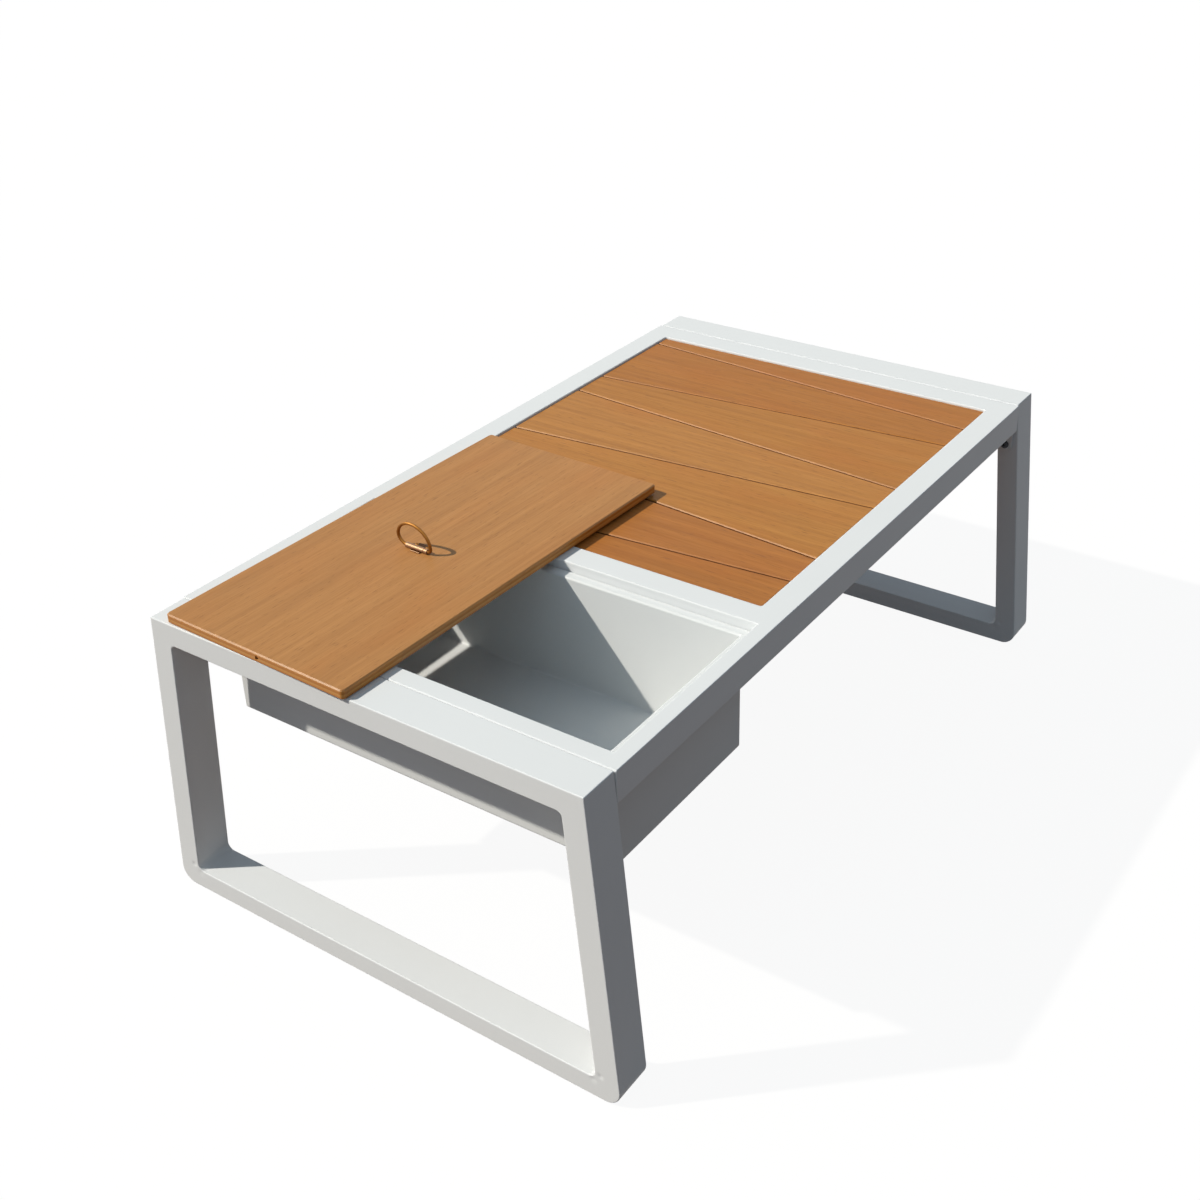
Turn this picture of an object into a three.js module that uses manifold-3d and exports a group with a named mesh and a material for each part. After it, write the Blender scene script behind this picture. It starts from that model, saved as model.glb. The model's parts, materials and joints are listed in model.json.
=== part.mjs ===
// Outdoor coffee table with an ice bucket let into one end of its top, in millimetres, +Z up.
// The origin is on the floor under the middle of the table. +X runs from the bucket end to the
// slatted end, and -Y is the front long side. Two bent tube leg frames carry a welded top frame.
// The bucket hangs in the frame beside the slats, and its lid lies across the top as in use.

import * as THREE from 'three';
import { mergeVertices } from 'three/addons/utils/BufferGeometryUtils.js';
import Module from 'manifold-3d';

const wasm = await Module();
wasm.setup();

// Overall sizes
const tableLength = 1104;
const topWidth = 600;
const tableHeight = 395;
const footSplay = 33;

// Clearances
const seam = 0.3;
const jointGap = 1;
const lidClearance = 2.75;
const slatFit = 0.8;
const overrun = 5;

// Leg frames, one tube bent round into a loop at each end
const legTubeWidth = 50;
const legTubeDepth = 28;
const legBarHeight = 27;
const legWall = 2;
const legEdge = 2.5;
const footBend = 20;
const footInnerBend = 9;
const shoulderInnerBend = 7;

// Glides under the feet
const glideGround = 2;
const glideHeight = 5.5;
const glideWidth = 30;
const glideLength = 30;
const glideCorner = 10;
const glideSetback = 16;

// Rails of the top frame, open tubes welded flush with each other
const railHeight = 40;
const railWall = 1.8;
const railEdge = 2;
const longRailWidth = 16;
const longRailInset = 1;
const endRailWidth = 24;
const crossrailWidth = 20;
const bucketOpening = 277.5;

// Bolted ears that hold the top frame to the legs
const earThickness = 3;
const earRadius = 10;
const earEdge = 0.4;
const boltDrop = 22.5;
const boltSetback = 17.25;
const boltRadius = 3;
const boltLength = 16;
const boltHeadRadius = 6;
const boltHeadHeight = 3.3;
const boltRim = 1.2;
const boltSocketRadius = 2.3;
const boltSocketDepth = 2;
const nutSleeveRadius = 4.5;
const nutFlangeRadius = 6.5;
const nutLength = 11;
const nutBulgeRadius = 6.2;
const nutBulgeLength = 2.5;

// Surround and slats of the table top
const surroundWidth = 15;
const surroundSheet = 3;
const surroundWeb = 2;
const surroundCorner = 3;
const surroundEdge = 0.8;
const lipWidth = 12;
const lipSheet = 2;
const slatCount = 7;
const slatDrop = 2.5;
const slatThickness = 12;
const slatEdge = 1.5;
const endSlatWidth = 47;
const grooveWidth = 3;
const grooveSlopeShare = 0.0855;
const bearerWidth = 25;
const bearerHeight = 12;
const bearerSheet = 1.5;

// Bucket, folded from one sheet, and the angles that carry its flange
const flangeWidth = 14;
const tubDepth = 148;
const tubSheet = 1.5;
const tubCorner = 1;
const tubBend = 3;
const flangeBend = 3;
const flangeCorner = 1;
const ledgeHeight = 16;
const ledgeSheet = 2;

// Lid, a board that drops into the opening and lies across the top when the bucket is in use
const lidThickness = 12;
const lidCorner = 5;
const lidEdge = 1.5;
const lidOverhang = 3.5;
const lidPastMiddle = 4;
const lidYaw = THREE.MathUtils.degToRad(-1.45);
const edgeHoleRadius = 2.5;
const edgeHoleDepth = 12;

// Ring pull of the lid
const pullSetback = 15;
const leafBehind = 5;
const leafAhead = 14;
const leafHalfWidth = 15;
const leafThickness = 1.5;
const leafCorner = 3;
const leafEdge = 0.3;
const barrelRadius = 3;
const barrelHalfLength = 17;
const wireRadius = 1.7;
const ringRadius = 24;
const ringRise = 12;
const ringBend = 5;
const ringLean = THREE.MathUtils.degToRad(-7.9);
const wireEndGap = 4;
const screwAhead = 8.5;
const screwSpread = 8.5;
const screwRadius = 1.4;
const screwLength = 9;
const screwHeadRadius = 2.6;
const screwHeadHeight = 1.3;

// Sizes that follow from the ones above
const topHalfLength = tableLength / 2 - legTubeWidth - jointGap;
const railOuterY = topWidth / 2 - longRailInset;
const railInnerY = railOuterY - longRailWidth;
const bucketNearX = endRailWidth - topHalfLength;
const bucketFarX = bucketNearX + bucketOpening;
const bucketCentreX = (bucketNearX + bucketFarX) / 2;
const slatEndX = topHalfLength - endRailWidth;
const surroundNearX = bucketFarX + crossrailWidth;
const surroundCentreX = (surroundNearX + slatEndX) / 2;
const fieldNearX = surroundNearX + surroundWidth;
const fieldFarX = slatEndX - surroundWidth;
const fieldHalfY = railInnerY - surroundWidth;
const railBottom = tableHeight - railHeight;
const slatTop = tableHeight - slatDrop;
const slatBottom = slatTop - slatThickness;
const lipTop = slatBottom - seam;
const flangeTop = tableHeight - lidThickness;
const lidWidth = bucketOpening - 2 * lidClearance;
const lidLength = 2 * (railInnerY - lidClearance);
const boltHeight = railBottom - boltDrop;
const boltHole = boltRadius + seam;
const screwHole = screwRadius + seam;

const FRONT = 0;
const BACK = Math.PI;
const BUCKET_END = -Math.PI / 2;
const SLAT_END = Math.PI / 2;

// Turns a section drawn in X and Y so that it stands across the table and runs along it.
const ALONG_X = new THREE.Euler(Math.PI / 2, 0, Math.PI / 2, 'ZYX');

const materials = {
  coat: new THREE.MeshStandardMaterial({ color: 0xdde1e3, roughness: 0.42, metalness: 0 }),
  slat: new THREE.MeshStandardMaterial({ color: 0xaf733f, roughness: 0.5, metalness: 0 }),
  lid: new THREE.MeshStandardMaterial({ color: 0xb8824e, roughness: 0.45, metalness: 0 }),
  bronze: new THREE.MeshStandardMaterial({ color: 0xa8643f, roughness: 0.3, metalness: 1 }),
  bolt: new THREE.MeshStandardMaterial({ color: 0x2b2b2d, roughness: 0.45, metalness: 1 }),
  zinc: new THREE.MeshStandardMaterial({ color: 0xb4b7ba, roughness: 0.4, metalness: 1 }),
  glide: new THREE.MeshStandardMaterial({ color: 0x161616, roughness: 0.6, metalness: 0 }),
};

function namedMesh(name, geometry, material) {
  const mesh = new THREE.Mesh(geometry, material);
  mesh.name = name;
  return mesh;
}

function toSolid(geometry) {
  const bare = geometry.clone();
  bare.deleteAttribute('normal');
  bare.deleteAttribute('uv');
  const merged = mergeVertices(bare);
  return new wasm.Manifold(new wasm.Mesh({
    numProp: 3,
    vertProperties: merged.attributes.position.array,
    triVerts: Uint32Array.from(merged.index.array),
  }));
}

function toGeometry(solid) {
  const mesh = solid.getMesh();
  const geometry = new THREE.BufferGeometry();
  geometry.setAttribute('position', new THREE.BufferAttribute(mesh.vertProperties, 3));
  geometry.setIndex(new THREE.BufferAttribute(mesh.triVerts, 1));
  geometry.computeVertexNormals();
  return geometry;
}

// A closed outline through the corners, each rounded by its own radius, or sharp where that is zero.
function drawOutline(path, corners, radii = corners.map(() => 0)) {
  corners.forEach(([x, y], index) => {
    const corner = new THREE.Vector2(x, y);
    const before = new THREE.Vector2(...corners.at(index - 1)).sub(corner).normalize();
    const after = new THREE.Vector2(...corners[(index + 1) % corners.length]).sub(corner).normalize();
    const radius = radii[index];
    const halfAngle = Math.acos(before.dot(after)) / 2;
    const start = before.clone().multiplyScalar(radius / Math.tan(halfAngle)).add(corner);
    const end = after.clone().multiplyScalar(radius / Math.tan(halfAngle)).add(corner);
    const centre = before.clone().add(after).setLength(radius / Math.sin(halfAngle)).add(corner);
    if (index === 0) path.moveTo(start.x, start.y);
    if (index > 0) path.lineTo(start.x, start.y);
    if (radius > 0) {
      const from = Math.atan2(start.y - centre.y, start.x - centre.x);
      const to = Math.atan2(end.y - centre.y, end.x - centre.x);
      path.absarc(centre.x, centre.y, radius, from, to, before.cross(after) > 0);
    }
  });
  path.closePath();
  return path;
}

function rectangleCorners(left, right, bottom, top) {
  return [[left, bottom], [right, bottom], [right, top], [left, top]];
}

function rectangle(halfX, halfY, radius) {
  const corners = rectangleCorners(-halfX, halfX, -halfY, halfY);
  return drawOutline(new THREE.Shape(), corners, corners.map(() => radius));
}

// A solid of one outline, as deep as asked along its local Z and centred there, with rounded rims.
function extrude(shape, depth, edge = 0, curveSegments = 3, bevelSegments = 3) {
  const geometry = new THREE.ExtrudeGeometry(shape, {
    depth: depth - 2 * edge,
    bevelEnabled: edge > 0,
    bevelThickness: edge,
    bevelSize: edge,
    bevelOffset: -edge,
    bevelSegments,
    curveSegments,
  });
  return geometry.translate(0, 0, edge - depth / 2);
}

function rodAlongZ(radius, length, sides = 24) {
  return new THREE.CylinderGeometry(radius, radius, length, sides).rotateX(Math.PI / 2);
}

// A bar that runs along one side of a rectangle, with its section's zero on that side's outer face.
// The turn says which side: the section's X points from there towards the middle.
function sideBar(name, geometry, turn, distance, top, centreX = 0) {
  const side = new THREE.Group();
  const bar = namedMesh(name, geometry, materials.coat);
  bar.rotation.copy(ALONG_X);
  bar.position.set(0, -distance, top);
  side.rotation.z = turn;
  side.position.x = centreX;
  side.add(bar);
  return side;
}

// Leg frames

function legHalfWidth(height) {
  const fallShare = (tableHeight - height) / (tableHeight - glideGround);
  return topWidth / 2 + footSplay * fallShare;
}

// Outline of the bent loop, set in from the skin of the tube by the inset.
function legLoop(inset) {
  const foot = glideGround + inset;
  const top = tableHeight - inset;
  const innerFoot = glideGround + legBarHeight - inset;
  const innerTop = tableHeight - legBarHeight + inset;
  const halfFoot = legHalfWidth(foot) - inset;
  const halfTop = legHalfWidth(top) - inset;
  const halfInnerFoot = legHalfWidth(innerFoot) - legTubeDepth + inset;
  const halfInnerTop = legHalfWidth(innerTop) - legTubeDepth + inset;
  const outer = [[-halfFoot, foot], [halfFoot, foot], [halfTop, top], [-halfTop, top]];
  const inner = [
    [-halfInnerFoot, innerFoot], [halfInnerFoot, innerFoot], [halfInnerTop, innerTop], [-halfInnerTop, innerTop],
  ];
  const footInner = footInnerBend + inset;
  const shoulderInner = shoulderInnerBend + inset;
  const loop = drawOutline(new THREE.Shape(), outer, [footBend - inset, footBend - inset, 0, 0]);
  loop.holes.push(drawOutline(new THREE.Path(), inner, [footInner, footInner, shoulderInner, shoulderInner]));
  return loop;
}

function boltOffset() {
  return legHalfWidth(boltHeight) - boltSetback;
}

function legGeometry() {
  const skin = toSolid(extrude(legLoop(0), legTubeWidth, legEdge));
  const hollow = toSolid(extrude(legLoop(legWall), legTubeWidth - 2 * legWall));
  const drill = rodAlongZ(nutSleeveRadius + seam, 2 * (legWall + overrun), 16);
  const drills = [-boltOffset(), boltOffset()].map((offset) => (
    toSolid(drill.clone().translate(offset, boltHeight, legTubeWidth / 2))
  ));
  return toGeometry(drills.reduce((leg, hole) => leg.subtract(hole), skin.subtract(hollow)));
}

// A moulded foot pad whose top follows the round corner of the tube above it.
function glideGeometry(outward) {
  const outline = extrude(rectangle(glideWidth / 2, glideLength / 2, glideCorner), glideHeight);
  const y = outward * (legHalfWidth(glideGround) - glideSetback - glideLength / 2);
  const tube = extrude(legLoop(-seam), legTubeWidth + 2 * overrun).rotateX(Math.PI / 2).rotateZ(Math.PI / 2);
  const pad = toSolid(outline.translate(0, y, glideHeight / 2)).subtract(toSolid(tube));
  return toGeometry(pad);
}

function earGeometry() {
  const ear = new THREE.Shape();
  ear.moveTo(earRadius, boltDrop);
  ear.lineTo(-earRadius, boltDrop);
  ear.absarc(0, 0, earRadius, Math.PI, 2 * Math.PI, false);
  ear.closePath();
  ear.holes.push(new THREE.Path().absarc(0, 0, boltHole, 0, 2 * Math.PI, true));
  return extrude(ear, earThickness, earEdge, 6, 1);
}

// A button head screw with a hexagon socket, its head's underside at zero and its shank below.
function boltGeometry() {
  const domeTop = new THREE.Vector2(boltSocketRadius + boltRim, boltHeadHeight);
  const dome = new THREE.QuadraticBezierCurve(
    new THREE.Vector2(boltHeadRadius, boltRim),
    new THREE.Vector2(boltHeadRadius - boltRim, boltHeadHeight),
    domeTop,
  );
  const profile = [
    new THREE.Vector2(0, -boltLength),
    new THREE.Vector2(boltRadius, -boltLength),
    new THREE.Vector2(boltRadius, 0),
    new THREE.Vector2(boltHeadRadius, 0),
    ...dome.getPoints(4),
    new THREE.Vector2(0, boltHeadHeight),
  ];
  const socketHeight = 2 * boltSocketDepth;
  const socket = new THREE.CylinderGeometry(boltSocketRadius, boltSocketRadius, socketHeight, 6);
  socket.translate(0, boltHeadHeight, 0);
  return toGeometry(toSolid(new THREE.LatheGeometry(profile, 16)).subtract(toSolid(socket)));
}

// A rivet nut set in the tube wall: zero is the face of the tube and the sleeve goes in below it.
function nutGeometry() {
  const flangeUnder = seam;
  const flangeOver = jointGap - seam;
  const bulgeTop = -legWall - seam;
  const bulgeBottom = bulgeTop - nutBulgeLength;
  const profile = [
    [boltHole, -nutLength], [nutSleeveRadius, -nutLength], [nutSleeveRadius, bulgeBottom],
    [nutBulgeRadius, bulgeBottom], [nutBulgeRadius, bulgeTop], [nutSleeveRadius, bulgeTop],
    [nutSleeveRadius, flangeUnder], [nutFlangeRadius, flangeUnder], [nutFlangeRadius, flangeOver],
    [boltHole, flangeOver], [boltHole, -nutLength],
  ];
  return new THREE.LatheGeometry(profile.map(([x, y]) => new THREE.Vector2(x, y)), 16);
}

// One end of the table in its own frame, where the table's middle lies towards +X.
function legEnd(end, turn) {
  const group = new THREE.Group();
  const legInnerX = legTubeWidth - tableLength / 2;
  const legCentreX = (legTubeWidth - tableLength) / 2;
  const leg = namedMesh(`leg_frame_${end}`, legGeometry(), materials.coat);
  leg.rotation.copy(ALONG_X);
  leg.position.x = legCentreX;
  group.add(leg);
  for (const [side, worldSide] of [['front', -1], ['back', 1]]) {
    const outward = worldSide * Math.cos(turn);
    const boltY = outward * boltOffset();
    const ear = namedMesh(`corner_ear_${end}_${side}`, earGeometry(), materials.coat);
    ear.rotation.copy(ALONG_X);
    ear.position.set(legInnerX + jointGap + earThickness / 2, boltY, boltHeight);
    const bolt = namedMesh(`corner_bolt_${end}_${side}`, boltGeometry(), materials.bolt);
    bolt.rotation.z = -Math.PI / 2;
    bolt.position.set(legInnerX + jointGap + earThickness + seam, boltY, boltHeight);
    const nut = namedMesh(`corner_nut_${end}_${side}`, nutGeometry(), materials.zinc);
    nut.rotation.z = -Math.PI / 2;
    nut.position.set(legInnerX, boltY, boltHeight);
    const glide = namedMesh(`glide_${end}_${side}`, glideGeometry(outward), materials.glide);
    glide.position.x = legCentreX;
    group.add(ear, bolt, nut, glide);
  }
  group.rotation.z = turn;
  return group;
}

// Top frame

// Section of a rectangular tube with its outer top edge at zero, rounded on its outer side.
function railGeometry(width, length) {
  const corners = rectangleCorners(0, width, -railHeight, 0);
  const bore = rectangleCorners(railWall, width - railWall, railWall - railHeight, -railWall);
  const section = drawOutline(new THREE.Shape(), corners, [railEdge, 0, 0, railEdge]);
  section.holes.push(drawOutline(new THREE.Path(), bore));
  return extrude(section, length);
}

function topFrame() {
  const frame = new THREE.Group();
  const longLength = 2 * topHalfLength;
  const crossLength = 2 * railInnerY;
  for (const [side, turn] of [['front', FRONT], ['back', BACK]]) {
    const rail = railGeometry(longRailWidth, longLength);
    frame.add(sideBar(`long_rail_${side}`, rail, turn, railOuterY, tableHeight));
  }
  for (const [end, turn] of [['bucket_end', BUCKET_END], ['slat_end', SLAT_END]]) {
    const rail = railGeometry(endRailWidth, crossLength);
    frame.add(sideBar(`end_rail_${end}`, rail, turn, topHalfLength, tableHeight));
  }
  const crossrail = railGeometry(crossrailWidth, crossLength);
  frame.add(sideBar('crossrail', crossrail, BUCKET_END, -bucketFarX, tableHeight));
  return frame;
}

// Slatted part of the top

function ringSolid(halfX, halfY, holeX, holeY, corner, height, top, edge = 0) {
  const ring = rectangle(halfX, halfY, 0);
  const hole = rectangleCorners(-holeX, holeX, -holeY, holeY);
  ring.holes.push(drawOutline(new THREE.Path(), hole, hole.map(() => corner)));
  return toSolid(extrude(ring, height, edge).translate(surroundCentreX, 0, top - height / 2));
}

// The frame round the slats: a flat cap flush with the rails, a web down its inner edge and a lip.
function surroundGeometry() {
  const halfX = (slatEndX - surroundNearX) / 2;
  const halfY = railInnerY;
  const fieldX = halfX - surroundWidth;
  const fieldY = halfY - surroundWidth;
  const webTop = tableHeight - surroundSheet / 2;
  const webHeight = webTop - lipTop + lipSheet;
  const outline = extrude(rectangle(halfX, halfY, 0), 2 * surroundSheet);
  const blank = toSolid(outline.translate(surroundCentreX, 0, tableHeight));
  const cap = ringSolid(
    halfX + overrun, halfY + overrun, fieldX, fieldY, surroundCorner, surroundSheet, tableHeight, surroundEdge,
  );
  const webX = fieldX + surroundWeb;
  const webY = fieldY + surroundWeb;
  const web = ringSolid(webX, webY, fieldX, fieldY, surroundCorner, webHeight, webTop);
  const lip = ringSolid(webX, webY, fieldX - lipWidth, fieldY - lipWidth, surroundCorner, lipSheet, lipTop);
  return toGeometry(cap.intersect(blank).add(web).add(lip));
}

// The grooves between the slats lean one way and the other by turns, so the slats are wedges.
function grooveX(groove, y) {
  if (groove === 0) return fieldNearX + slatFit;
  if (groove === slatCount) return fieldFarX - slatFit;
  const pitch = (fieldFarX - fieldNearX - 2 * endSlatWidth) / (slatCount - 2);
  const lean = groove % 2 === 0 ? grooveSlopeShare : -grooveSlopeShare;
  return fieldNearX + endSlatWidth + (groove - 1) * pitch + lean * y;
}

function slatGeometry(slat) {
  const halfY = fieldHalfY - slatFit;
  const first = slat === 0;
  const last = slat === slatCount - 1;
  const nearGap = first ? 0 : grooveWidth / 2;
  const farGap = last ? 0 : grooveWidth / 2;
  const nearRadius = first ? surroundCorner - slatFit : 0;
  const farRadius = last ? surroundCorner - slatFit : 0;
  const corners = [
    [grooveX(slat, -halfY) + nearGap, -halfY], [grooveX(slat + 1, -halfY) - farGap, -halfY],
    [grooveX(slat + 1, halfY) - farGap, halfY], [grooveX(slat, halfY) + nearGap, halfY],
  ];
  const outline = drawOutline(new THREE.Shape(), corners, [nearRadius, farRadius, farRadius, nearRadius]);
  return extrude(outline, slatThickness, slatEdge);
}

// An inverted channel under the middle of the slats, stepped down at its ends under the lip.
function bearerGeometry() {
  const halfLength = (slatEndX - surroundNearX) / 2 - seam;
  const step = surroundWidth + lipWidth;
  const stepTop = -lipSheet - seam;
  const side = drawOutline(new THREE.Shape(), [
    [-halfLength, -bearerHeight], [halfLength, -bearerHeight], [halfLength, stepTop],
    [halfLength - step, stepTop], [halfLength - step, 0], [step - halfLength, 0],
    [step - halfLength, stepTop], [-halfLength, stepTop],
  ]);
  const bar = toSolid(extrude(side, bearerWidth).rotateX(Math.PI / 2));
  const hollowDrop = bearerSheet + bearerHeight / 2;
  const hollow = new THREE.BoxGeometry(2 * tableLength, bearerWidth - 2 * bearerSheet, bearerHeight);
  return toGeometry(bar.subtract(toSolid(hollow.translate(0, 0, -hollowDrop))));
}

function slattedTop() {
  const group = new THREE.Group();
  group.add(namedMesh('slat_surround', surroundGeometry(), materials.coat));
  for (let slat = 0; slat < slatCount; slat += 1) {
    const board = namedMesh(`slat_${slat + 1}`, slatGeometry(slat), materials.slat);
    board.position.z = slatTop - slatThickness / 2;
    group.add(board);
  }
  const bearer = namedMesh('slat_bearer', bearerGeometry(), materials.coat);
  bearer.position.set(surroundCentreX, 0, lipTop);
  group.add(bearer);
  return group;
}

// Bucket

function roundedRing(halfX, halfY, radius, z) {
  const ring = [];
  const quadrants = [[1, 1], [-1, 1], [-1, -1], [1, -1]];
  const steps = 4;
  quadrants.forEach(([signX, signY], quadrant) => {
    for (let step = 0; step <= steps; step += 1) {
      const angle = (quadrant + step / steps) * (Math.PI / 2);
      const x = signX * (halfX - radius) + radius * Math.cos(angle);
      const y = signY * (halfY - radius) + radius * Math.sin(angle);
      ring.push(new THREE.Vector3(x, y, z));
    }
  });
  return ring;
}

// Joins rings of as many points into one skin, closed flat at its first and last ring.
function loft(rings) {
  const count = rings[0].length;
  const index = [];
  for (let ring = 0; ring < rings.length - 1; ring += 1) {
    for (let point = 0; point < count; point += 1) {
      const a = ring * count + point;
      const b = ring * count + (point + 1) % count;
      index.push(a, b, b + count, a, b + count, a + count);
    }
  }
  const lastStart = (rings.length - 1) * count;
  for (let point = 1; point < count - 1; point += 1) {
    index.push(0, point + 1, point);
    index.push(lastStart, lastStart + point, lastStart + point + 1);
  }
  const geometry = new THREE.BufferGeometry().setFromPoints(rings.flat());
  geometry.setIndex(index);
  geometry.computeVertexNormals();
  return geometry;
}

// Points of a quarter bend as distances out from the tub's inner wall and heights.
function quarterBend(centreOut, centreZ, radius, fromTurn, toTurn) {
  const arc = new THREE.Path().absarc(centreOut, centreZ, radius, fromTurn, toTurn, toTurn < fromTurn);
  return arc.getPoints(2).map((point) => [point.x, point.y]);
}

// The bucket as one folded sheet: up the outside, over the flange and down the inside.
function tubGeometry() {
  const quarter = Math.PI / 2;
  const halfX = bucketOpening / 2 - flangeWidth;
  const halfY = railInnerY - flangeWidth;
  const floorTop = flangeTop - tubDepth + tubSheet;
  const bottomBend = tubBend + tubSheet;
  const rimOut = flangeWidth - seam;
  const section = [
    ...quarterBend(-tubBend, floorTop + tubBend, bottomBend, -quarter, 0),
    ...quarterBend(flangeBend, flangeTop - flangeBend, flangeBend - tubSheet, 2 * quarter, quarter),
    [rimOut, flangeTop - tubSheet], [rimOut, flangeTop],
    ...quarterBend(flangeBend, flangeTop - flangeBend, flangeBend, quarter, 2 * quarter),
    ...quarterBend(-tubBend, floorTop + tubBend, tubBend, 0, -quarter),
  ];
  const rings = section.map(([out, z]) => {
    const radius = out === rimOut ? flangeCorner : tubCorner + Math.max(out, 0);
    return roundedRing(halfX + out, halfY + out, radius, z);
  });
  return loft(rings);
}

// An angle whose upright lies against a rail and whose level leg carries the flange.
function ledgeGeometry(length) {
  const reach = flangeWidth - flangeBend - 2 * seam;
  const section = drawOutline(new THREE.Shape(), [
    [0, -ledgeHeight], [ledgeSheet, -ledgeHeight], [ledgeSheet, -ledgeSheet],
    [reach, -ledgeSheet], [reach, 0], [0, 0],
  ]);
  return extrude(section, length);
}

function bucket() {
  const group = new THREE.Group();
  const tub = namedMesh('tub', tubGeometry(), materials.coat);
  tub.position.x = bucketCentreX;
  group.add(tub);
  const ledgeTop = flangeTop - tubSheet - seam;
  const halfX = bucketOpening / 2 - seam;
  const halfY = railInnerY - seam;
  const shortLength = 2 * (railInnerY - flangeWidth);
  const sides = [
    ['front', FRONT, halfY, 2 * halfX], ['back', BACK, halfY, 2 * halfX],
    ['bucket_end', BUCKET_END, halfX, shortLength], ['crossrail', SLAT_END, halfX, shortLength],
  ];
  for (const [side, turn, distance, length] of sides) {
    group.add(sideBar(`ledge_${side}`, ledgeGeometry(length), turn, distance, ledgeTop, bucketCentreX));
  }
  return group;
}

// Lid and its ring pull, drawn with the lid's length along X and its underside at zero

function screwPlaces() {
  return [-screwSpread, screwSpread].map((y) => [screwAhead - pullSetback, y]);
}

function lidGeometry() {
  const board = extrude(rectangle(lidLength / 2, lidWidth / 2, lidCorner), lidThickness, lidEdge);
  const edgeHole = new THREE.CylinderGeometry(edgeHoleRadius, edgeHoleRadius, 2 * edgeHoleDepth, 20);
  edgeHole.rotateZ(Math.PI / 2).translate(-lidLength / 2, 0, lidThickness / 2);
  const pilotDepth = 2 * (screwLength + seam);
  const pilots = screwPlaces().map(([x, y]) => (
    toSolid(rodAlongZ(screwHole, pilotDepth, 12).translate(x, y, lidThickness))
  ));
  const blank = toSolid(board.translate(0, 0, lidThickness / 2)).subtract(toSolid(edgeHole));
  return toGeometry(pilots.reduce((lid, pilot) => lid.subtract(pilot), blank));
}

// The leaf is a plate rolled into a barrel, drawn from the axis of the barrel.
function leafGeometry() {
  const corners = rectangleCorners(-leafBehind, leafAhead, -leafHalfWidth, leafHalfWidth);
  const outline = drawOutline(new THREE.Shape(), corners, corners.map(() => leafCorner));
  const plate = extrude(outline, leafThickness, leafEdge).translate(0, 0, leafThickness / 2 - barrelRadius);
  const barrel = new THREE.CylinderGeometry(barrelRadius, barrelRadius, 2 * barrelHalfLength, 24);
  const boreRadius = wireRadius + seam;
  const bore = new THREE.CylinderGeometry(boreRadius, boreRadius, 2 * (barrelHalfLength + overrun), 24);
  const holes = [-screwSpread, screwSpread].map((y) => (
    toSolid(rodAlongZ(screwHole, 2 * (leafThickness + overrun), 12).translate(screwAhead, y, -barrelRadius))
  ));
  const leaf = toSolid(plate).add(toSolid(barrel)).subtract(toSolid(bore));
  return toGeometry(holes.reduce((rest, hole) => rest.subtract(hole), leaf));
}

// Stands a plane path up across the lid, so that its X lies along Y and its Y along Z.
class UprightWire extends THREE.Curve {
  constructor(path) {
    super();
    this.path = path;
  }

  getPoint(t, target = new THREE.Vector3()) {
    const point = this.path.getPoint(t);
    return target.set(0, point.x, point.y);
  }
}

// A ring of wire, flattened on the side where its two ends turn in and meet inside the barrel.
function ringGeometry() {
  const innerRadius = ringRadius - ringBend;
  const bendX = Math.sqrt(innerRadius ** 2 - (ringRise - ringBend) ** 2);
  const meetAngle = Math.atan2(ringBend - ringRise, bendX);
  const wire = new THREE.Path();
  wire.moveTo(wireEndGap / 2, 0);
  wire.lineTo(bendX, 0);
  wire.absarc(bendX, ringBend, ringBend, -Math.PI / 2, meetAngle, false);
  wire.absarc(0, ringRise, ringRadius, meetAngle, Math.PI - meetAngle, false);
  wire.absarc(-bendX, ringBend, ringBend, Math.PI - meetAngle, 1.5 * Math.PI, false);
  wire.lineTo(-wireEndGap / 2, 0);
  const section = new THREE.Shape().absarc(0, 0, wireRadius, 0, 2 * Math.PI, false);
  return new THREE.ExtrudeGeometry(section, {
    steps: 64,
    curveSegments: 4,
    extrudePath: new UprightWire(wire),
  });
}

function domeScrewGeometry() {
  const dome = new THREE.Path().absellipse(0, 0, screwHeadRadius, screwHeadHeight, 0, Math.PI / 2, false, 0);
  const profile = [
    new THREE.Vector2(0, -screwLength),
    new THREE.Vector2(screwRadius, -screwLength),
    new THREE.Vector2(screwRadius, 0),
    ...dome.getPoints(3),
  ];
  profile.at(-1).x = 0;
  return new THREE.LatheGeometry(profile, 16).rotateX(Math.PI / 2);
}

function lidWithPull() {
  const group = new THREE.Group();
  group.add(namedMesh('lid', lidGeometry(), materials.lid));
  const axisHeight = lidThickness + seam + barrelRadius;
  const leaf = namedMesh('pull_leaf', leafGeometry(), materials.bronze);
  leaf.position.set(-pullSetback, 0, axisHeight);
  const ring = namedMesh('pull_ring', ringGeometry(), materials.bronze);
  ring.position.copy(leaf.position);
  ring.rotation.y = ringLean;
  group.add(leaf, ring);
  screwPlaces().forEach(([x, y], index) => {
    const screw = namedMesh(`pull_screw_${index + 1}`, domeScrewGeometry(), materials.bronze);
    screw.position.set(x, y, lidThickness + seam + leafThickness + seam);
    group.add(screw);
  });
  const restX = (lidLength - tableLength) / 2 - lidOverhang;
  group.position.set(restX, lidWidth / 2 - lidPastMiddle, tableHeight + seam);
  group.rotation.z = lidYaw;
  return group;
}

const table = new THREE.Group();
table.add(legEnd('bucket_end', 0), legEnd('slat_end', Math.PI));
table.add(topFrame(), slattedTop(), bucket(), lidWithPull());

export default table;
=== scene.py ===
"""Dresses the ice bucket coffee table: its fine meshes, its finishes, the studio and the camera.

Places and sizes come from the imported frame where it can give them. The rest, such as the radius of a
bend, are dataclass fields of the sub-assembly that they belong to, in metres.
"""

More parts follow.
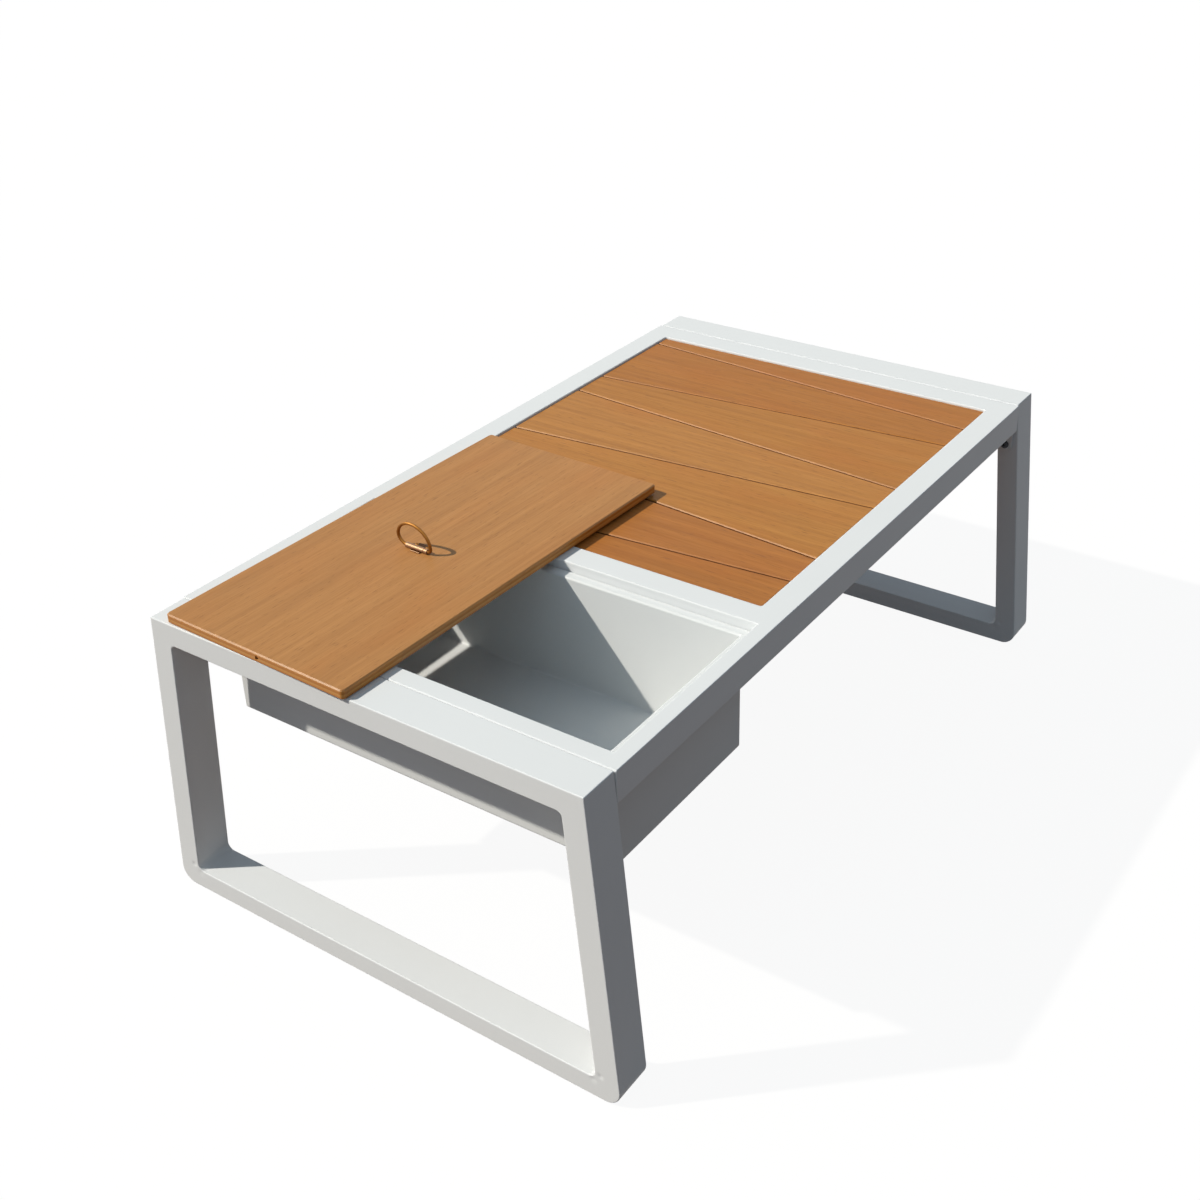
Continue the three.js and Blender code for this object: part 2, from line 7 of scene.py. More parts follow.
import json
import logging
import math
from collections.abc import Callable, Mapping, Sequence
from dataclasses import dataclass
from enum import Enum

import bmesh
import bpy
from mathutils import Matrix, Vector


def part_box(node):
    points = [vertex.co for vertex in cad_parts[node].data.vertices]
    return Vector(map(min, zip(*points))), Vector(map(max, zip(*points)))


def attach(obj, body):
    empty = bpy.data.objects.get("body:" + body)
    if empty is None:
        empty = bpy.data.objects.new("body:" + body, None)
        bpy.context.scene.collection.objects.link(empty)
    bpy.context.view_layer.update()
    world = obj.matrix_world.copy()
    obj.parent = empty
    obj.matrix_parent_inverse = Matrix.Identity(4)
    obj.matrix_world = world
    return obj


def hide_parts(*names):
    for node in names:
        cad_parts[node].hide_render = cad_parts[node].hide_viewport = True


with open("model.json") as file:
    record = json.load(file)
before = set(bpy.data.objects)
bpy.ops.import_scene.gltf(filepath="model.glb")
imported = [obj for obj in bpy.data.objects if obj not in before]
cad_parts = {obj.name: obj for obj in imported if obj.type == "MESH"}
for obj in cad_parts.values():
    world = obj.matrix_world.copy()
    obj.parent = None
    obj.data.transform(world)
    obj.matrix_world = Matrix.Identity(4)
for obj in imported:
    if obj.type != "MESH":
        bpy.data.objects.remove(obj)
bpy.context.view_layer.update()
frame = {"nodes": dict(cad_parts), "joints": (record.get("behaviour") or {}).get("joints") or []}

log = logging.getLogger("ice_bucket_table")

MM = 0.001
SHARP_ANGLE = math.radians(35)
MERGE_DISTANCE = 0.001 * MM
# Two planes of a welded frame are the same where their places agree to this many decimals of a metre.
SAME_PLANE_DECIMALS = 7
AXES = range(3)
DOME_STEPS = 8

Point = tuple[float, float]
Box = tuple[Vector, Vector]


class Body(Enum):
    """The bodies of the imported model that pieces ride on."""

    TABLE = "table"
    LID = "lid"
    RING = "ring"


class Slot(Enum):
    """The record's material slots. No piece in this script is given one."""

    COAT = "powder_coat"
    SLAT = "slat_wood"
    LID = "lid_wood"
    BRONZE = "bronze"
    BOLT = "bolt"
    NUT = "nut"


class End(Enum):
    """The two ends of the table, with the way to each along X."""

    BUCKET = ("bucket_end", -1)
    SLAT = ("slat_end", 1)


class Side(Enum):
    """The two long sides of the table."""

    FRONT = "front"
    BACK = "back"


class Grain(Enum):
    """The axis of its own coordinates that a board's fibres follow."""

    ALONG_X = 0
    ALONG_Y = 1


# Meshes


def round_corners(corners: Sequence[Point], radii: Sequence[float], steps: int = 6) -> list[Vector]:
    """Rounds the corners of a closed outline.

    Every corner gives steps + 1 points, also where its radius is zero, so that outlines with as
    many corners can be joined point by point.

    Args:
        corners: The outline's corners, in order.
        radii: The radius of each corner.
        steps: How many chords each arc has.

    Returns:
        The points of the rounded outline.
    """
    outline = []
    for index, corner in enumerate(corners):
        here = Vector(corner)
        before = (Vector(corners[index - 1]) - here).normalized()
        after = (Vector(corners[(index + 1) % len(corners)]) - here).normalized()
        half_angle = before.angle(after) / 2
        reach = radii[index] / math.tan(half_angle)
        centre = here + (before + after).normalized() * (radii[index] / math.sin(half_angle))
        start = here + before * reach - centre
        end = here + after * reach - centre
        turn = math.pi - 2 * half_angle
        for step in range(steps + 1):
            share = step / steps
            spoke = start * math.sin((1 - share) * turn) + end * math.sin(share * turn)
            outline.append(centre + spoke / math.sin(turn))
    return outline


def rectangle(low: Point, high: Point) -> list[Point]:
    """Gives the corners of an upright rectangle."""
    return [(low[0], low[1]), (high[0], low[1]), (high[0], high[1]), (low[0], high[1])]


def arc(centre: Point, radius: float, start_deg: float, end_deg: float, steps: int) -> list[Point]:
    """Gives the points of an arc.

    Args:
        centre: Its centre.
        radius: Its radius.
        start_deg: The angle of its first point.
        end_deg: The angle of its last point.
        steps: How many chords it has.

    Returns:
        The steps + 1 points from the start to the end.
    """
    angles = (math.radians(start_deg + (end_deg - start_deg) * step / steps) for step in range(steps + 1))
    return [(centre[0] + radius * math.cos(a), centre[1] + radius * math.sin(a)) for a in angles]


def quarter_turn(steps: int) -> list[float]:
    """Gives the angles of a quarter turn from zero, in equal steps."""
    return [math.pi / 2 * step / steps for step in range(steps + 1)]


def full_turn(sides: int) -> list[float]:
    """Gives the angles of a full turn from zero, one for each side."""
    return [2 * math.pi * side / sides for side in range(sides)]


def new_mesh(
    name: str, points: Sequence[Sequence[float]], faces: Sequence[Sequence[int]]
) -> bpy.types.Mesh:
    """Makes a closed mesh, joins its doubled points and turns its faces outwards.

    Args:
        name: The name of the mesh.
        points: The places of its points.
        faces: The points of each face.

    Returns:
        The mesh.
    """
    mesh = bpy.data.meshes.new(name)
    mesh.from_pydata([tuple(point) for point in points], [], [tuple(face) for face in faces])
    form = bmesh.new()
    form.from_mesh(mesh)
    bmesh.ops.remove_doubles(form, verts=form.verts, dist=MERGE_DISTANCE)
    bmesh.ops.recalc_face_normals(form, faces=form.faces)
    form.to_mesh(mesh)
    form.free()
    return mesh


def skin(name: str, rings: Sequence[Sequence[Vector]], looped: bool = False) -> bpy.types.Mesh:
    """Joins rings of equally many points into one closed skin.

    Args:
        name: The name of the mesh.
        rings: The rings, in order.
        looped: Whether the last ring joins the first. If not, both are closed flat.

    Returns:
        The mesh.
    """
    count = len(rings[0])
    faces = []
    for span in range(len(rings) if looped else len(rings) - 1):
        low = span * count
        high = (span + 1) % len(rings) * count
        for point in range(count):
            beside = (point + 1) % count
            faces.append((low + point, low + beside, high + beside, high + point))
    if not looped:
        faces.append(range(count))
        faces.append(range((len(rings) - 1) * count, len(rings) * count))
    return new_mesh(name, [point for ring in rings for point in ring], faces)


def prism(name: str, outline: Sequence[Vector | Point], bottom: float, top: float) -> bpy.types.Mesh:
    """Stands a plan outline up between two heights."""
    return skin(name, [[Vector((x, y, z)) for x, y in outline] for z in (bottom, top)])


def turned(name: str, profile: Sequence[Point], sides: int = 40) -> bpy.types.Mesh:
    """Turns a profile round the Z axis.

    Args:
        name: The name of the mesh.
        profile: Its points as radius and height, from one end to the other.
        sides: How many sides the turned piece has.

    Returns:
        The mesh.
    """
    angles = full_turn(sides)
    rings = [[Vector((r * math.cos(a), r * math.sin(a), z)) for a in angles] for r, z in profile]
    return skin(name, rings)


def ease(
    mesh: bpy.types.Mesh,
    width: float,
    segments: int = 3,
    chosen: Callable[[bmesh.types.BMEdge], bool] = lambda edge: True,
) -> bpy.types.Mesh:
    """Rounds the sharp edges of a mesh.

    Args:
        mesh: The mesh, which is changed.
        width: How far the rounding reaches from the edge.
        segments: How many faces go round it.
        chosen: Says which of the sharp edges are rounded.

    Returns:
        The same mesh.
    """
    form = bmesh.new()
    form.from_mesh(mesh)
    edges = [edge for edge in form.edges if edge.calc_face_angle(0) > SHARP_ANGLE and chosen(edge)]
    bmesh.ops.bevel(form, geom=edges, offset=width, segments=segments, profile=0.5, affect="EDGES")
    form.to_mesh(mesh)
    form.free()
    return mesh


def add_object(name: str, data: bpy.types.ID) -> bpy.types.Object:
    """Puts an object into the scene.

    Args:
        name: Its name.
        data: Its mesh, lamp or camera.

    Returns:
        The object.
    """
    made = bpy.data.objects.new(name, data)
    bpy.context.scene.collection.objects.link(made)
    return made


class Cut(Enum):
    """How one closed mesh changes another."""

    TAKE_AWAY = "DIFFERENCE"
    ADD = "UNION"


def combine(mesh: bpy.types.Mesh, tool: bpy.types.Mesh, cut: Cut) -> bpy.types.Mesh:
    """Cuts a closed mesh with another, or joins the two.

    Args:
        mesh: The mesh to change.
        tool: The mesh that changes it.
        cut: What is done.

    Returns:
        A new mesh under the first one's name.
    """
    name = mesh.name
    blank = add_object("blank", mesh)
    cutter = add_object("cutter", tool)
    modifier = blank.modifiers.new("cut", "BOOLEAN")
    modifier.operation = cut.value
    modifier.object = cutter
    modifier.solver = "EXACT"
    made = bpy.data.meshes.new_from_object(blank.evaluated_get(bpy.context.evaluated_depsgraph_get()))
    for part in (blank, cutter):
        bpy.data.objects.remove(part)
    for used in (mesh, tool):
        bpy.data.meshes.remove(used)
    made.name = name
    return made


def join_meshes(name: str, meshes: Sequence[bpy.types.Mesh]) -> bpy.types.Mesh:
    """Puts separate meshes together as one mesh, each still a closed body of its own.

    Args:
        name: The name of the joined mesh.
        meshes: The meshes, which are used up.

    Returns:
        The joined mesh.
    """
    form = bmesh.new()
    for mesh in meshes:
        form.from_mesh(mesh)
        bpy.data.meshes.remove(mesh)
    made = bpy.data.meshes.new(name)
    form.to_mesh(made)
    form.free()
    return made


def weld_boxes(name: str, boxes: Sequence[Box]) -> bpy.types.Mesh:
    """Gives the one skin of boxes that touch face to face, as bars do once they are welded.

    Args:
        name: The name of the mesh.
        boxes: The lowest and highest corner of each box.

    Returns:
        The mesh.
    """
    corners = [corner for box in boxes for corner in box]
    planes = [sorted({round(corner[axis], SAME_PLANE_DECIMALS) for corner in corners}) for axis in AXES]

    def is_filled(cell: tuple[int, int, int]) -> bool:
        """Tells whether a cell of the planes' grid lies in a box.

        Args:
            cell: The numbers of the planes before it, along each axis.

        Returns:
            Whether it does.
        """
        if any(not 0 <= cell[axis] < len(planes[axis]) - 1 for axis in AXES):
            return False
        middle = [(planes[axis][cell[axis]] + planes[axis][cell[axis] + 1]) / 2 for axis in AXES]
        return any(all(low[axis] < middle[axis] < high[axis] for axis in AXES) for low, high in boxes)

    points: dict[tuple[int, int, int], int] = {}
    faces = []
    spans = [range(len(plane) - 1) for plane in planes]
    for cell in ((i, j, k) for i in spans[0] for j in spans[1] for k in spans[2]):
        if not is_filled(cell):
            continue
        for axis, way in ((axis, way) for axis in AXES for way in (0, 1)):
            beyond = list(cell)
            beyond[axis] += 2 * way - 1
            if is_filled(tuple(beyond)):
                continue
            face = []
            for across, up in ((0, 0), (1, 0), (1, 1), (0, 1)):
                corner = list(cell)
                corner[axis] += way
                corner[axis - 2] += across
                corner[axis - 1] += up
                face.append(points.setdefault(tuple(corner), len(points)))
            faces.append(face)
    places = [[planes[axis][corner[axis]] for axis in AXES] for corner in points]
    return new_mesh(name, places, faces)


def place(
    mesh: bpy.types.Mesh,
    material: bpy.types.Material,
    body: Body = Body.TABLE,
    replaces: Sequence[str] = (),
    where: Matrix = Matrix.Identity(4),
) -> bpy.types.Object:
    """Puts a mesh on the table as a piece, with smooth shading that keeps its flat faces flat.

    Args:
        mesh: The piece's mesh, whose name the piece takes.
        material: Its finish.
        body: The body that it rides on.
        replaces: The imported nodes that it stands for.
        where: Its place, for a piece drawn in coordinates of its own.

    Returns:
        The piece.
    """
    mesh.materials.clear()
    mesh.materials.append(material)
    mesh.shade_smooth()
    mesh.set_sharp_from_angle(angle=SHARP_ANGLE)
    piece = add_object(mesh.name, mesh)
    piece.matrix_world = where
    normals = piece.modifiers.new("flat_faces", "WEIGHTED_NORMAL")
    normals.keep_sharp = True
    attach(piece, body.value)
    if replaces:
        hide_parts(*replaces)
    log.info("%s: %d faces on %s", piece.name, len(mesh.polygons), body.value)
    return piece


def dress_node(name: str, material: bpy.types.Material) -> None:
    """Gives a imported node, whose shape stays as it is, its finish.

    Args:
        name: The node.
        material: The finish.
    """
    node = frame["nodes"][name]
    if not node.material_slots:
        node.data.materials.append(material)
    for slot in node.material_slots:
        slot.material = material
    log.info("%s: the packed shape, with %s", name, material.name)


# Finishes

# The sockets of a Mix node by number, because their names repeat.
FACTOR = 0
VALUE_A, VALUE_B, VALUE_OUT = 2, 3, 0
COLOUR_A, COLOUR_B, COLOUR_OUT = 6, 7, 2

WHITE = "#FFFFFF"


def linear(hex_colour: str) -> tuple[float, float, float, float]:
    """Turns an sRGB hex colour into linear light, by the curve of the sRGB standard.

    Args:
        hex_colour: The colour, as a hash sign and six digits.

    Returns:
        Its linear red, green and blue, with an alpha of one.
    """
    shares = [int(hex_colour[start:start + 2], 16) / 255 for start in (1, 3, 5)]
    red, green, blue = (s / 12.92 if s <= 0.04045 else ((s + 0.055) / 1.055) ** 2.4 for s in shares)
    return (red, green, blue, 1.0)


def per_metre(size_mm: float) -> float:
    """Gives the scale at which a pattern's marks are this many millimetres across."""
    return 1 / (size_mm * MM)


def add_node(
    tree: bpy.types.NodeTree,
    kind: str,
    inputs: Mapping[str | int, object] | None = None,
    stops: Sequence[tuple[float, str]] = (),
    **settings: object,
) -> bpy.types.Node:
    """Adds a shader node with its settings and links.

    Args:
        tree: The tree that it goes into.
        kind: Its type.
        inputs: A value for each socket, or the output that is linked to it.
        stops: The places and hex colours of a colour ramp.
        settings: The node's own properties.

    Returns:
        The node.
    """
    node = tree.nodes.new(kind)
    for name, value in settings.items():
        setattr(node, name, value)
    for socket, value in (inputs or {}).items():
        if isinstance(value, bpy.types.NodeSocket):
            tree.links.new(value, node.inputs[socket])
        else:
            node.inputs[socket].default_value = value
    for index, (position, colour) in enumerate(stops):
        elements = node.color_ramp.elements
        element = elements[index] if index < len(elements) else elements.new(position)
        element.position = position
        element.color = linear(colour)
    return node


@dataclass(frozen=True)
class Finish:
    """A surface finish, whose material is made once."""

    name: str = "finish"

    def material(self) -> bpy.types.Material:
        """Gives the finish's material, and makes it at the first call.

        Returns:
            The material.
        """
        made = bpy.data.materials.get(self.name)
        if made is None:
            made = bpy.data.materials.new(self.name)
            made.use_nodes = True
            self.paint(made.node_tree, made.node_tree.nodes["Principled BSDF"])
        return made

    def paint(self, tree: bpy.types.NodeTree, shader: bpy.types.Node) -> None:
        """Sets the shader of the finish's material.

        Args:
            tree: The material's node tree.
            shader: Its Principled BSDF.
        """
        raise NotImplementedError

    def cloud(
        self,
        tree: bpy.types.NodeTree,
        shader: bpy.types.Node,
        size_mm: float,
        detail: float,
        colours: tuple[str, str],
        gloss: tuple[float, float],
    ) -> None:
        """Varies the colour and the gloss together, in soft clouds.

        Args:
            tree: The material's node tree.
            shader: Its Principled BSDF.
            size_mm: How wide the clouds are, in millimetres.
            detail: How much finer noise is laid over them.
            colours: The two colours that they vary between.
            gloss: The two roughnesses that they vary between.
        """
        place_in = add_node(tree, "ShaderNodeTexCoord").outputs["Object"]
        noise = add_node(
            tree, "ShaderNodeTexNoise", {"Vector": place_in, "Scale": per_metre(size_mm), "Detail": detail}
        )
        colour = add_node(
            tree,
            "ShaderNodeMix",
            {FACTOR: noise.outputs["Fac"], COLOUR_A: linear(colours[0]), COLOUR_B: linear(colours[1])},
            data_type="RGBA",
        )
        roughness = add_node(
            tree,
            "ShaderNodeMapRange",
            {"Value": noise.outputs["Fac"], "To Min": gloss[0], "To Max": gloss[1]},
        )
        tree.links.new(colour.outputs[COLOUR_OUT], shader.inputs["Base Color"])
        tree.links.new(roughness.outputs["Result"], shader.inputs["Roughness"])

    def roughen(
        self,
        tree: bpy.types.NodeTree,
        shader: bpy.types.Node,
        size_mm: float,
        depth: float,
        strength: float,
    ) -> None:
        """Gives the surface a fine, even relief.

        Args:
            tree: The material's node tree.
            shader: Its Principled BSDF.
            size_mm: How wide its grains are, in millimetres.
            depth: How deep it is.
            strength: How much of it shows.
        """
        place_in = add_node(tree, "ShaderNodeTexCoord").outputs["Object"]
        noise = add_node(
            tree, "ShaderNodeTexNoise", {"Vector": place_in, "Scale": per_metre(size_mm), "Detail": 2.0}
        )
        relief = add_node(
            tree,
            "ShaderNodeBump",
            {"Height": noise.outputs["Fac"], "Strength": strength, "Distance": depth},
        )
        tree.links.new(relief.outputs["Normal"], shader.inputs["Normal"])


@dataclass(frozen=True)
class PowderCoatedAluminium(Finish):
    """Polyester powder, sprayed on dry and baked: an even satin white with a faint orange peel."""

    name: str = "powder_coated_aluminium"
    body_colour: str = "#E2E5E7"
    thin_colour: str = "#DEE1E3"
    cloud_mm: float = 120
    smooth: float = 0.36
    rough: float = 0.46
    # Real orange peel is about 2 mm across and just shows where the sun glances along a face.
    peel_mm: float = 2.4
    peel_depth: float = 0.012 * MM
    peel_strength: float = 0.5
    # The cured powder is finely rough, so it mirrors less of its surroundings than a wet paint.
    shine: float = 0.08

    def paint(self, tree: bpy.types.NodeTree, shader: bpy.types.Node) -> None:
        """Mixes two close whites and pits the gloss.

        Args:
            tree: The material's node tree.
            shader: Its Principled BSDF.
        """
        whites = (self.thin_colour, self.body_colour)
        self.cloud(tree, shader, self.cloud_mm, 3.0, whites, (self.smooth, self.rough))
        self.roughen(tree, shader, self.peel_mm, self.peel_depth, self.peel_strength)
        shader.inputs["Specular IOR Level"].default_value = self.shine


@dataclass(frozen=True)
class PowderCoatedSteel(PowderCoatedAluminium):
    """The same powder on the bucket's sheet steel, a little darker, partly as painted shade for its dim
    inside.
    """

    name: str = "powder_coated_steel"
    # Darker than the frame's coat: the bucket looks darker throughout, and this also stands in for the dim
    # shade inside it.
    body_colour: str = "#DCDFE0"
    thin_colour: str = "#D8DBDC"


@dataclass(frozen=True)
class Streaks:
    """Marks that run with the grain, by their width and length in millimetres."""

    width_mm: float
    length_mm: float
    detail: float = 3.0
    # Where in the noise a mark begins to show and where it is full, and how strong it is then.
    begins: float = 0.0
    full: float = 1.0
    most: float = 1.0


@dataclass(frozen=True, kw_only=True)
class OiledWood(Finish):
    """Sawn, sanded and oiled hardwood: fine straight fibres over broad streaks, with a low sheen."""

    name: str = "oiled_wood"
    grain: Grain = Grain.ALONG_Y
    # Where in the noise the figure is cut from.
    seed: float
    deep: str
    middle: str
    pale: str
    # The redder tint of some broad patches.
    blush: str
    pore_colour: str = "#5E3818"
    figure: Streaks = Streaks(8, 330)
    # Where in the figure's noise the deep, the middle and the pale colour lie.
    figure_stops: tuple[float, float, float] = (0.25, 0.5, 0.78)
    fibre: Streaks = Streaks(1.7, 52, 2.5, begins=0.38, full=0.66, most=0.5)
    # The pores of such wood are about 0.3 mm wide. Here they are as wide as they need to be to show.
    pore: Streaks = Streaks(1.5, 15, 1.0, begins=0.62, full=0.76, most=0.5)
    flush: Streaks = Streaks(60, 170, 2.0, begins=0.45, full=0.75, most=0.6)
    fibre_depth: float = 0.12 * MM
    fibre_strength: float = 0.6
    smooth: float = 0.4
    rough: float = 0.62
    # The oil has soaked in, so less light glances off than from a varnish.
    shine: float = 0.3
    # Sanding closes the grain along a chamfer, and hands polish it.
    rim_roughness: float = 0.46
    # Painted shade: the standing sides are painted dark brown, so the joints between boards read as shaded
    # lines.
    joint_shade_colour: str = "#6B4020"
    # The slopes, from one on a level face to zero on a standing one, at which each begins and is full.
    rim_slopes: tuple[float, float] = (0.97, 0.85)
    joint_shade_slopes: tuple[float, float] = (0.3, 0.1)

    def streaks(self, tree: bpy.types.NodeTree, marks: Streaks) -> bpy.types.NodeSocket:
        """Draws one layer of marks that run with the grain.

        Args:
            tree: The material's node tree.
            marks: The size of the marks.

        Returns:
            The output with the layer's noise.
        """
        scale = [per_metre(marks.width_mm)] * 3
        scale[self.grain.value] = per_metre(marks.length_mm)
        place_in = add_node(tree, "ShaderNodeTexCoord").outputs["Object"]
        stretched = add_node(tree, "ShaderNodeMapping", {"Vector": place_in, "Scale": scale})
        noise = add_node(
            tree,
            "ShaderNodeTexNoise",
            {"Vector": stretched.outputs["Vector"], "W": self.seed, "Scale": 1.0, "Detail": marks.detail},
            noise_dimensions="4D",
        )
        return noise.outputs["Fac"]

    def face_colour(self, tree: bpy.types.NodeTree, fibre: bpy.types.NodeSocket) -> bpy.types.NodeSocket:
        """Mixes the colour of the sawn face from its layers.

        Args:
            tree: The material's node tree.
            fibre: The output with the noise of the fibres.

        Returns:
            The output with the colour.
        """
        deep_at, middle_at, pale_at = self.figure_stops
        figure = add_node(
            tree,
            "ShaderNodeValToRGB",
            {"Fac": self.streaks(tree, self.figure)},
            stops=((deep_at, self.deep), (pale_at, self.pale), (middle_at, self.middle)),
        )
        colour = figure.outputs["Color"]
        layers = (
            (self.flush, self.streaks(tree, self.flush), self.blush),
            (self.fibre, fibre, self.deep),
            (self.pore, self.streaks(tree, self.pore), self.pore_colour),
        )
        for marks, noise, tint in layers:
            share = add_node(
                tree,
                "ShaderNodeMapRange",
                {"Value": noise, "From Min": marks.begins, "From Max": marks.full, "To Max": marks.most},
            )
            laid = add_node(
                tree,
                "ShaderNodeMix",
                {FACTOR: share.outputs["Result"], COLOUR_A: colour, COLOUR_B: linear(tint)},
                data_type="RGBA",
            )
            colour = laid.outputs[COLOUR_OUT]
        return colour

    def slope(self, tree: bpy.types.NodeTree) -> bpy.types.NodeSocket:
        """Tells level faces from standing ones.

        Args:
            tree: The material's node tree.

        Returns:
            An output that is one on a level face and zero on a standing one.
        """
        normal = add_node(tree, "ShaderNodeTexCoord").outputs["Normal"]
        split = add_node(tree, "ShaderNodeSeparateXYZ", {"Vector": normal})
        level = add_node(tree, "ShaderNodeMath", {0: split.outputs["Z"]}, operation="ABSOLUTE")
        return level.outputs["Value"]

    def paint(self, tree: bpy.types.NodeTree, shader: bpy.types.Node) -> None:
        """Colours the face, paints the sides dark as painted shade in the joints, raises the fibres and
        polishes the chamfers.

        Args:
            tree: The material's node tree.
            shader: Its Principled BSDF.
        """
        fibre = self.streaks(tree, self.fibre)
        slope = self.slope(tree)
        # Painted shade: standing faces take the dark joint colour, so the gaps between boards look shaded.
        begins, full = self.joint_shade_slopes
        side = add_node(tree, "ShaderNodeMapRange", {"Value": slope, "From Min": begins, "From Max": full})
        face = self.face_colour(tree, fibre)
        colour = add_node(
            tree,
            "ShaderNodeMix",
            {FACTOR: side.outputs["Result"], COLOUR_A: face, COLOUR_B: linear(self.joint_shade_colour)},
            data_type="RGBA",
        )
        gloss = add_node(
            tree, "ShaderNodeMapRange", {"Value": fibre, "To Min": self.smooth, "To Max": self.rough}
        )
        begins, full = self.rim_slopes
        rim = add_node(tree, "ShaderNodeMapRange", {"Value": slope, "From Min": begins, "From Max": full})
        polished = add_node(
            tree,
            "ShaderNodeMix",
            {FACTOR: rim.outputs["Result"], VALUE_A: gloss.outputs["Result"], VALUE_B: self.rim_roughness},
        )
        relief = add_node(
            tree,
            "ShaderNodeBump",
            {"Height": fibre, "Strength": self.fibre_strength, "Distance": self.fibre_depth},
        )
        shader.inputs["Specular IOR Level"].default_value = self.shine
        tree.links.new(colour.outputs[COLOUR_OUT], shader.inputs["Base Color"])
        tree.links.new(polished.outputs[VALUE_OUT], shader.inputs["Roughness"])
        tree.links.new(relief.outputs["Normal"], shader.inputs["Normal"])


@dataclass(frozen=True, kw_only=True)
class OiledPlywood(OiledWood):
    """Veneered plywood, oiled: its plies show as lines along its sawn edges."""

    name: str = "oiled_plywood"
    grain: Grain = Grain.ALONG_X
    deep: str = "#A2703E"
    middle: str = "#B17D47"
    pale: str = "#BC874F"
    blush: str = "#B5773D"
    rim_roughness: float = 0.38
    edge_slopes: tuple[float, float] = (0.55, 0.25)
    thickness: float
    # The plies from the underside up, each with its place as a share of the thickness.
    plies: tuple[tuple[float, str], ...] = (
        (0.0, "#975719"),
        (0.25, "#B87630"),
        (0.45, "#C58D45"),
        (0.6, "#AA681F"),
        (0.85, "#BD7E35"),
        (1.0, "#C58D4C"),
    )

    def paint(self, tree: bpy.types.NodeTree, shader: bpy.types.Node) -> None:
        """Colours the faces as wood and the edges by their plies.

        Args:
            tree: The material's node tree.
            shader: Its Principled BSDF.
        """
        super().paint(tree, shader)
        face = shader.inputs["Base Color"].links[0].from_socket
        place_in = add_node(tree, "ShaderNodeTexCoord").outputs["Object"]
        split = add_node(tree, "ShaderNodeSeparateXYZ", {"Vector": place_in})
        height = add_node(
            tree, "ShaderNodeMapRange", {"Value": split.outputs["Z"], "From Max": self.thickness}
        )
        layers = add_node(tree, "ShaderNodeValToRGB", {"Fac": height.outputs["Result"]}, stops=self.plies)
        begins, full = self.edge_slopes
        edge = add_node(
            tree, "ShaderNodeMapRange", {"Value": self.slope(tree), "From Min": begins, "From Max": full}
        )
        colour = add_node(
            tree,
            "ShaderNodeMix",
            {FACTOR: edge.outputs["Result"], COLOUR_A: face, COLOUR_B: layers.outputs["Color"]},
            data_type="RGBA",
        )
        tree.links.new(colour.outputs[COLOUR_OUT], shader.inputs["Base Color"])


@dataclass(frozen=True)
class Metal(Finish):
    """A bare or plated metal, whose gloss varies a little from place to place."""

    name: str = "metal"
    colour: str = "#B4B7BA"
    stain: str = "#9A9DA0"
    smooth: float = 0.25
    rough: float = 0.4
    cloud_mm: float = 4.0

    def paint(self, tree: bpy.types.NodeTree, shader: bpy.types.Node) -> None:
        """Clouds the colour and the gloss.

        Args:
            tree: The material's node tree.
            shader: Its Principled BSDF.
        """
        self.cloud(tree, shader, self.cloud_mm, 4.0, (self.colour, self.stain), (self.smooth, self.rough))
        shader.inputs["Metallic"].default_value = 1.0


@dataclass(frozen=True)
class CopperPlatedSteel(Metal):
    """Copper plated: pale copper on the barrel and edges, painted dark brown on the plate's low, level
    face as painted shade and reflection.
    """

    name: str = "copper_plated_steel"
    colour: str = "#A18266"
    stain: str = "#8C6C54"
    smooth: float = 0.46
    rough: float = 0.56
    reflection_shade_colour: str = "#4A2E16"
    # Painted shade and reflection: faces lower than this, below the axis of the barrel, and as level as
    # this are painted dark brown.
    shade_below: float = -1 * MM
    shade_slope: float = 0.9

    def paint(self, tree: bpy.types.NodeTree, shader: bpy.types.Node) -> None:
        """Paints the level faces that lie low dark brown, as painted shade and reflection.

        Args:
            tree: The material's node tree.
            shader: Its Principled BSDF.
        """
        super().paint(tree, shader)
        coordinates = add_node(tree, "ShaderNodeTexCoord").outputs
        height = add_node(tree, "ShaderNodeSeparateXYZ", {"Vector": coordinates["Object"]}).outputs["Z"]
        slope = add_node(tree, "ShaderNodeSeparateXYZ", {"Vector": coordinates["Normal"]}).outputs["Z"]
        low = add_node(tree, "ShaderNodeMath", {0: height, 1: self.shade_below}, operation="LESS_THAN")
        level = add_node(
            tree, "ShaderNodeMath", {0: slope, 1: self.shade_slope}, operation="GREATER_THAN"
        )
        painted_reflection_shade = add_node(
            tree,
            "ShaderNodeMath",
            {0: low.outputs["Value"], 1: level.outputs["Value"]},
            operation="MULTIPLY",
        )
        bright = shader.inputs["Base Color"].links[0].from_socket
        colour = add_node(
            tree,
            "ShaderNodeMix",
            {FACTOR: painted_reflection_shade.outputs["Value"], COLOUR_A: bright, COLOUR_B: linear(self.reflection_shade_colour)},
            data_type="RGBA",
        )
        tree.links.new(colour.outputs[COLOUR_OUT], shader.inputs["Base Color"])


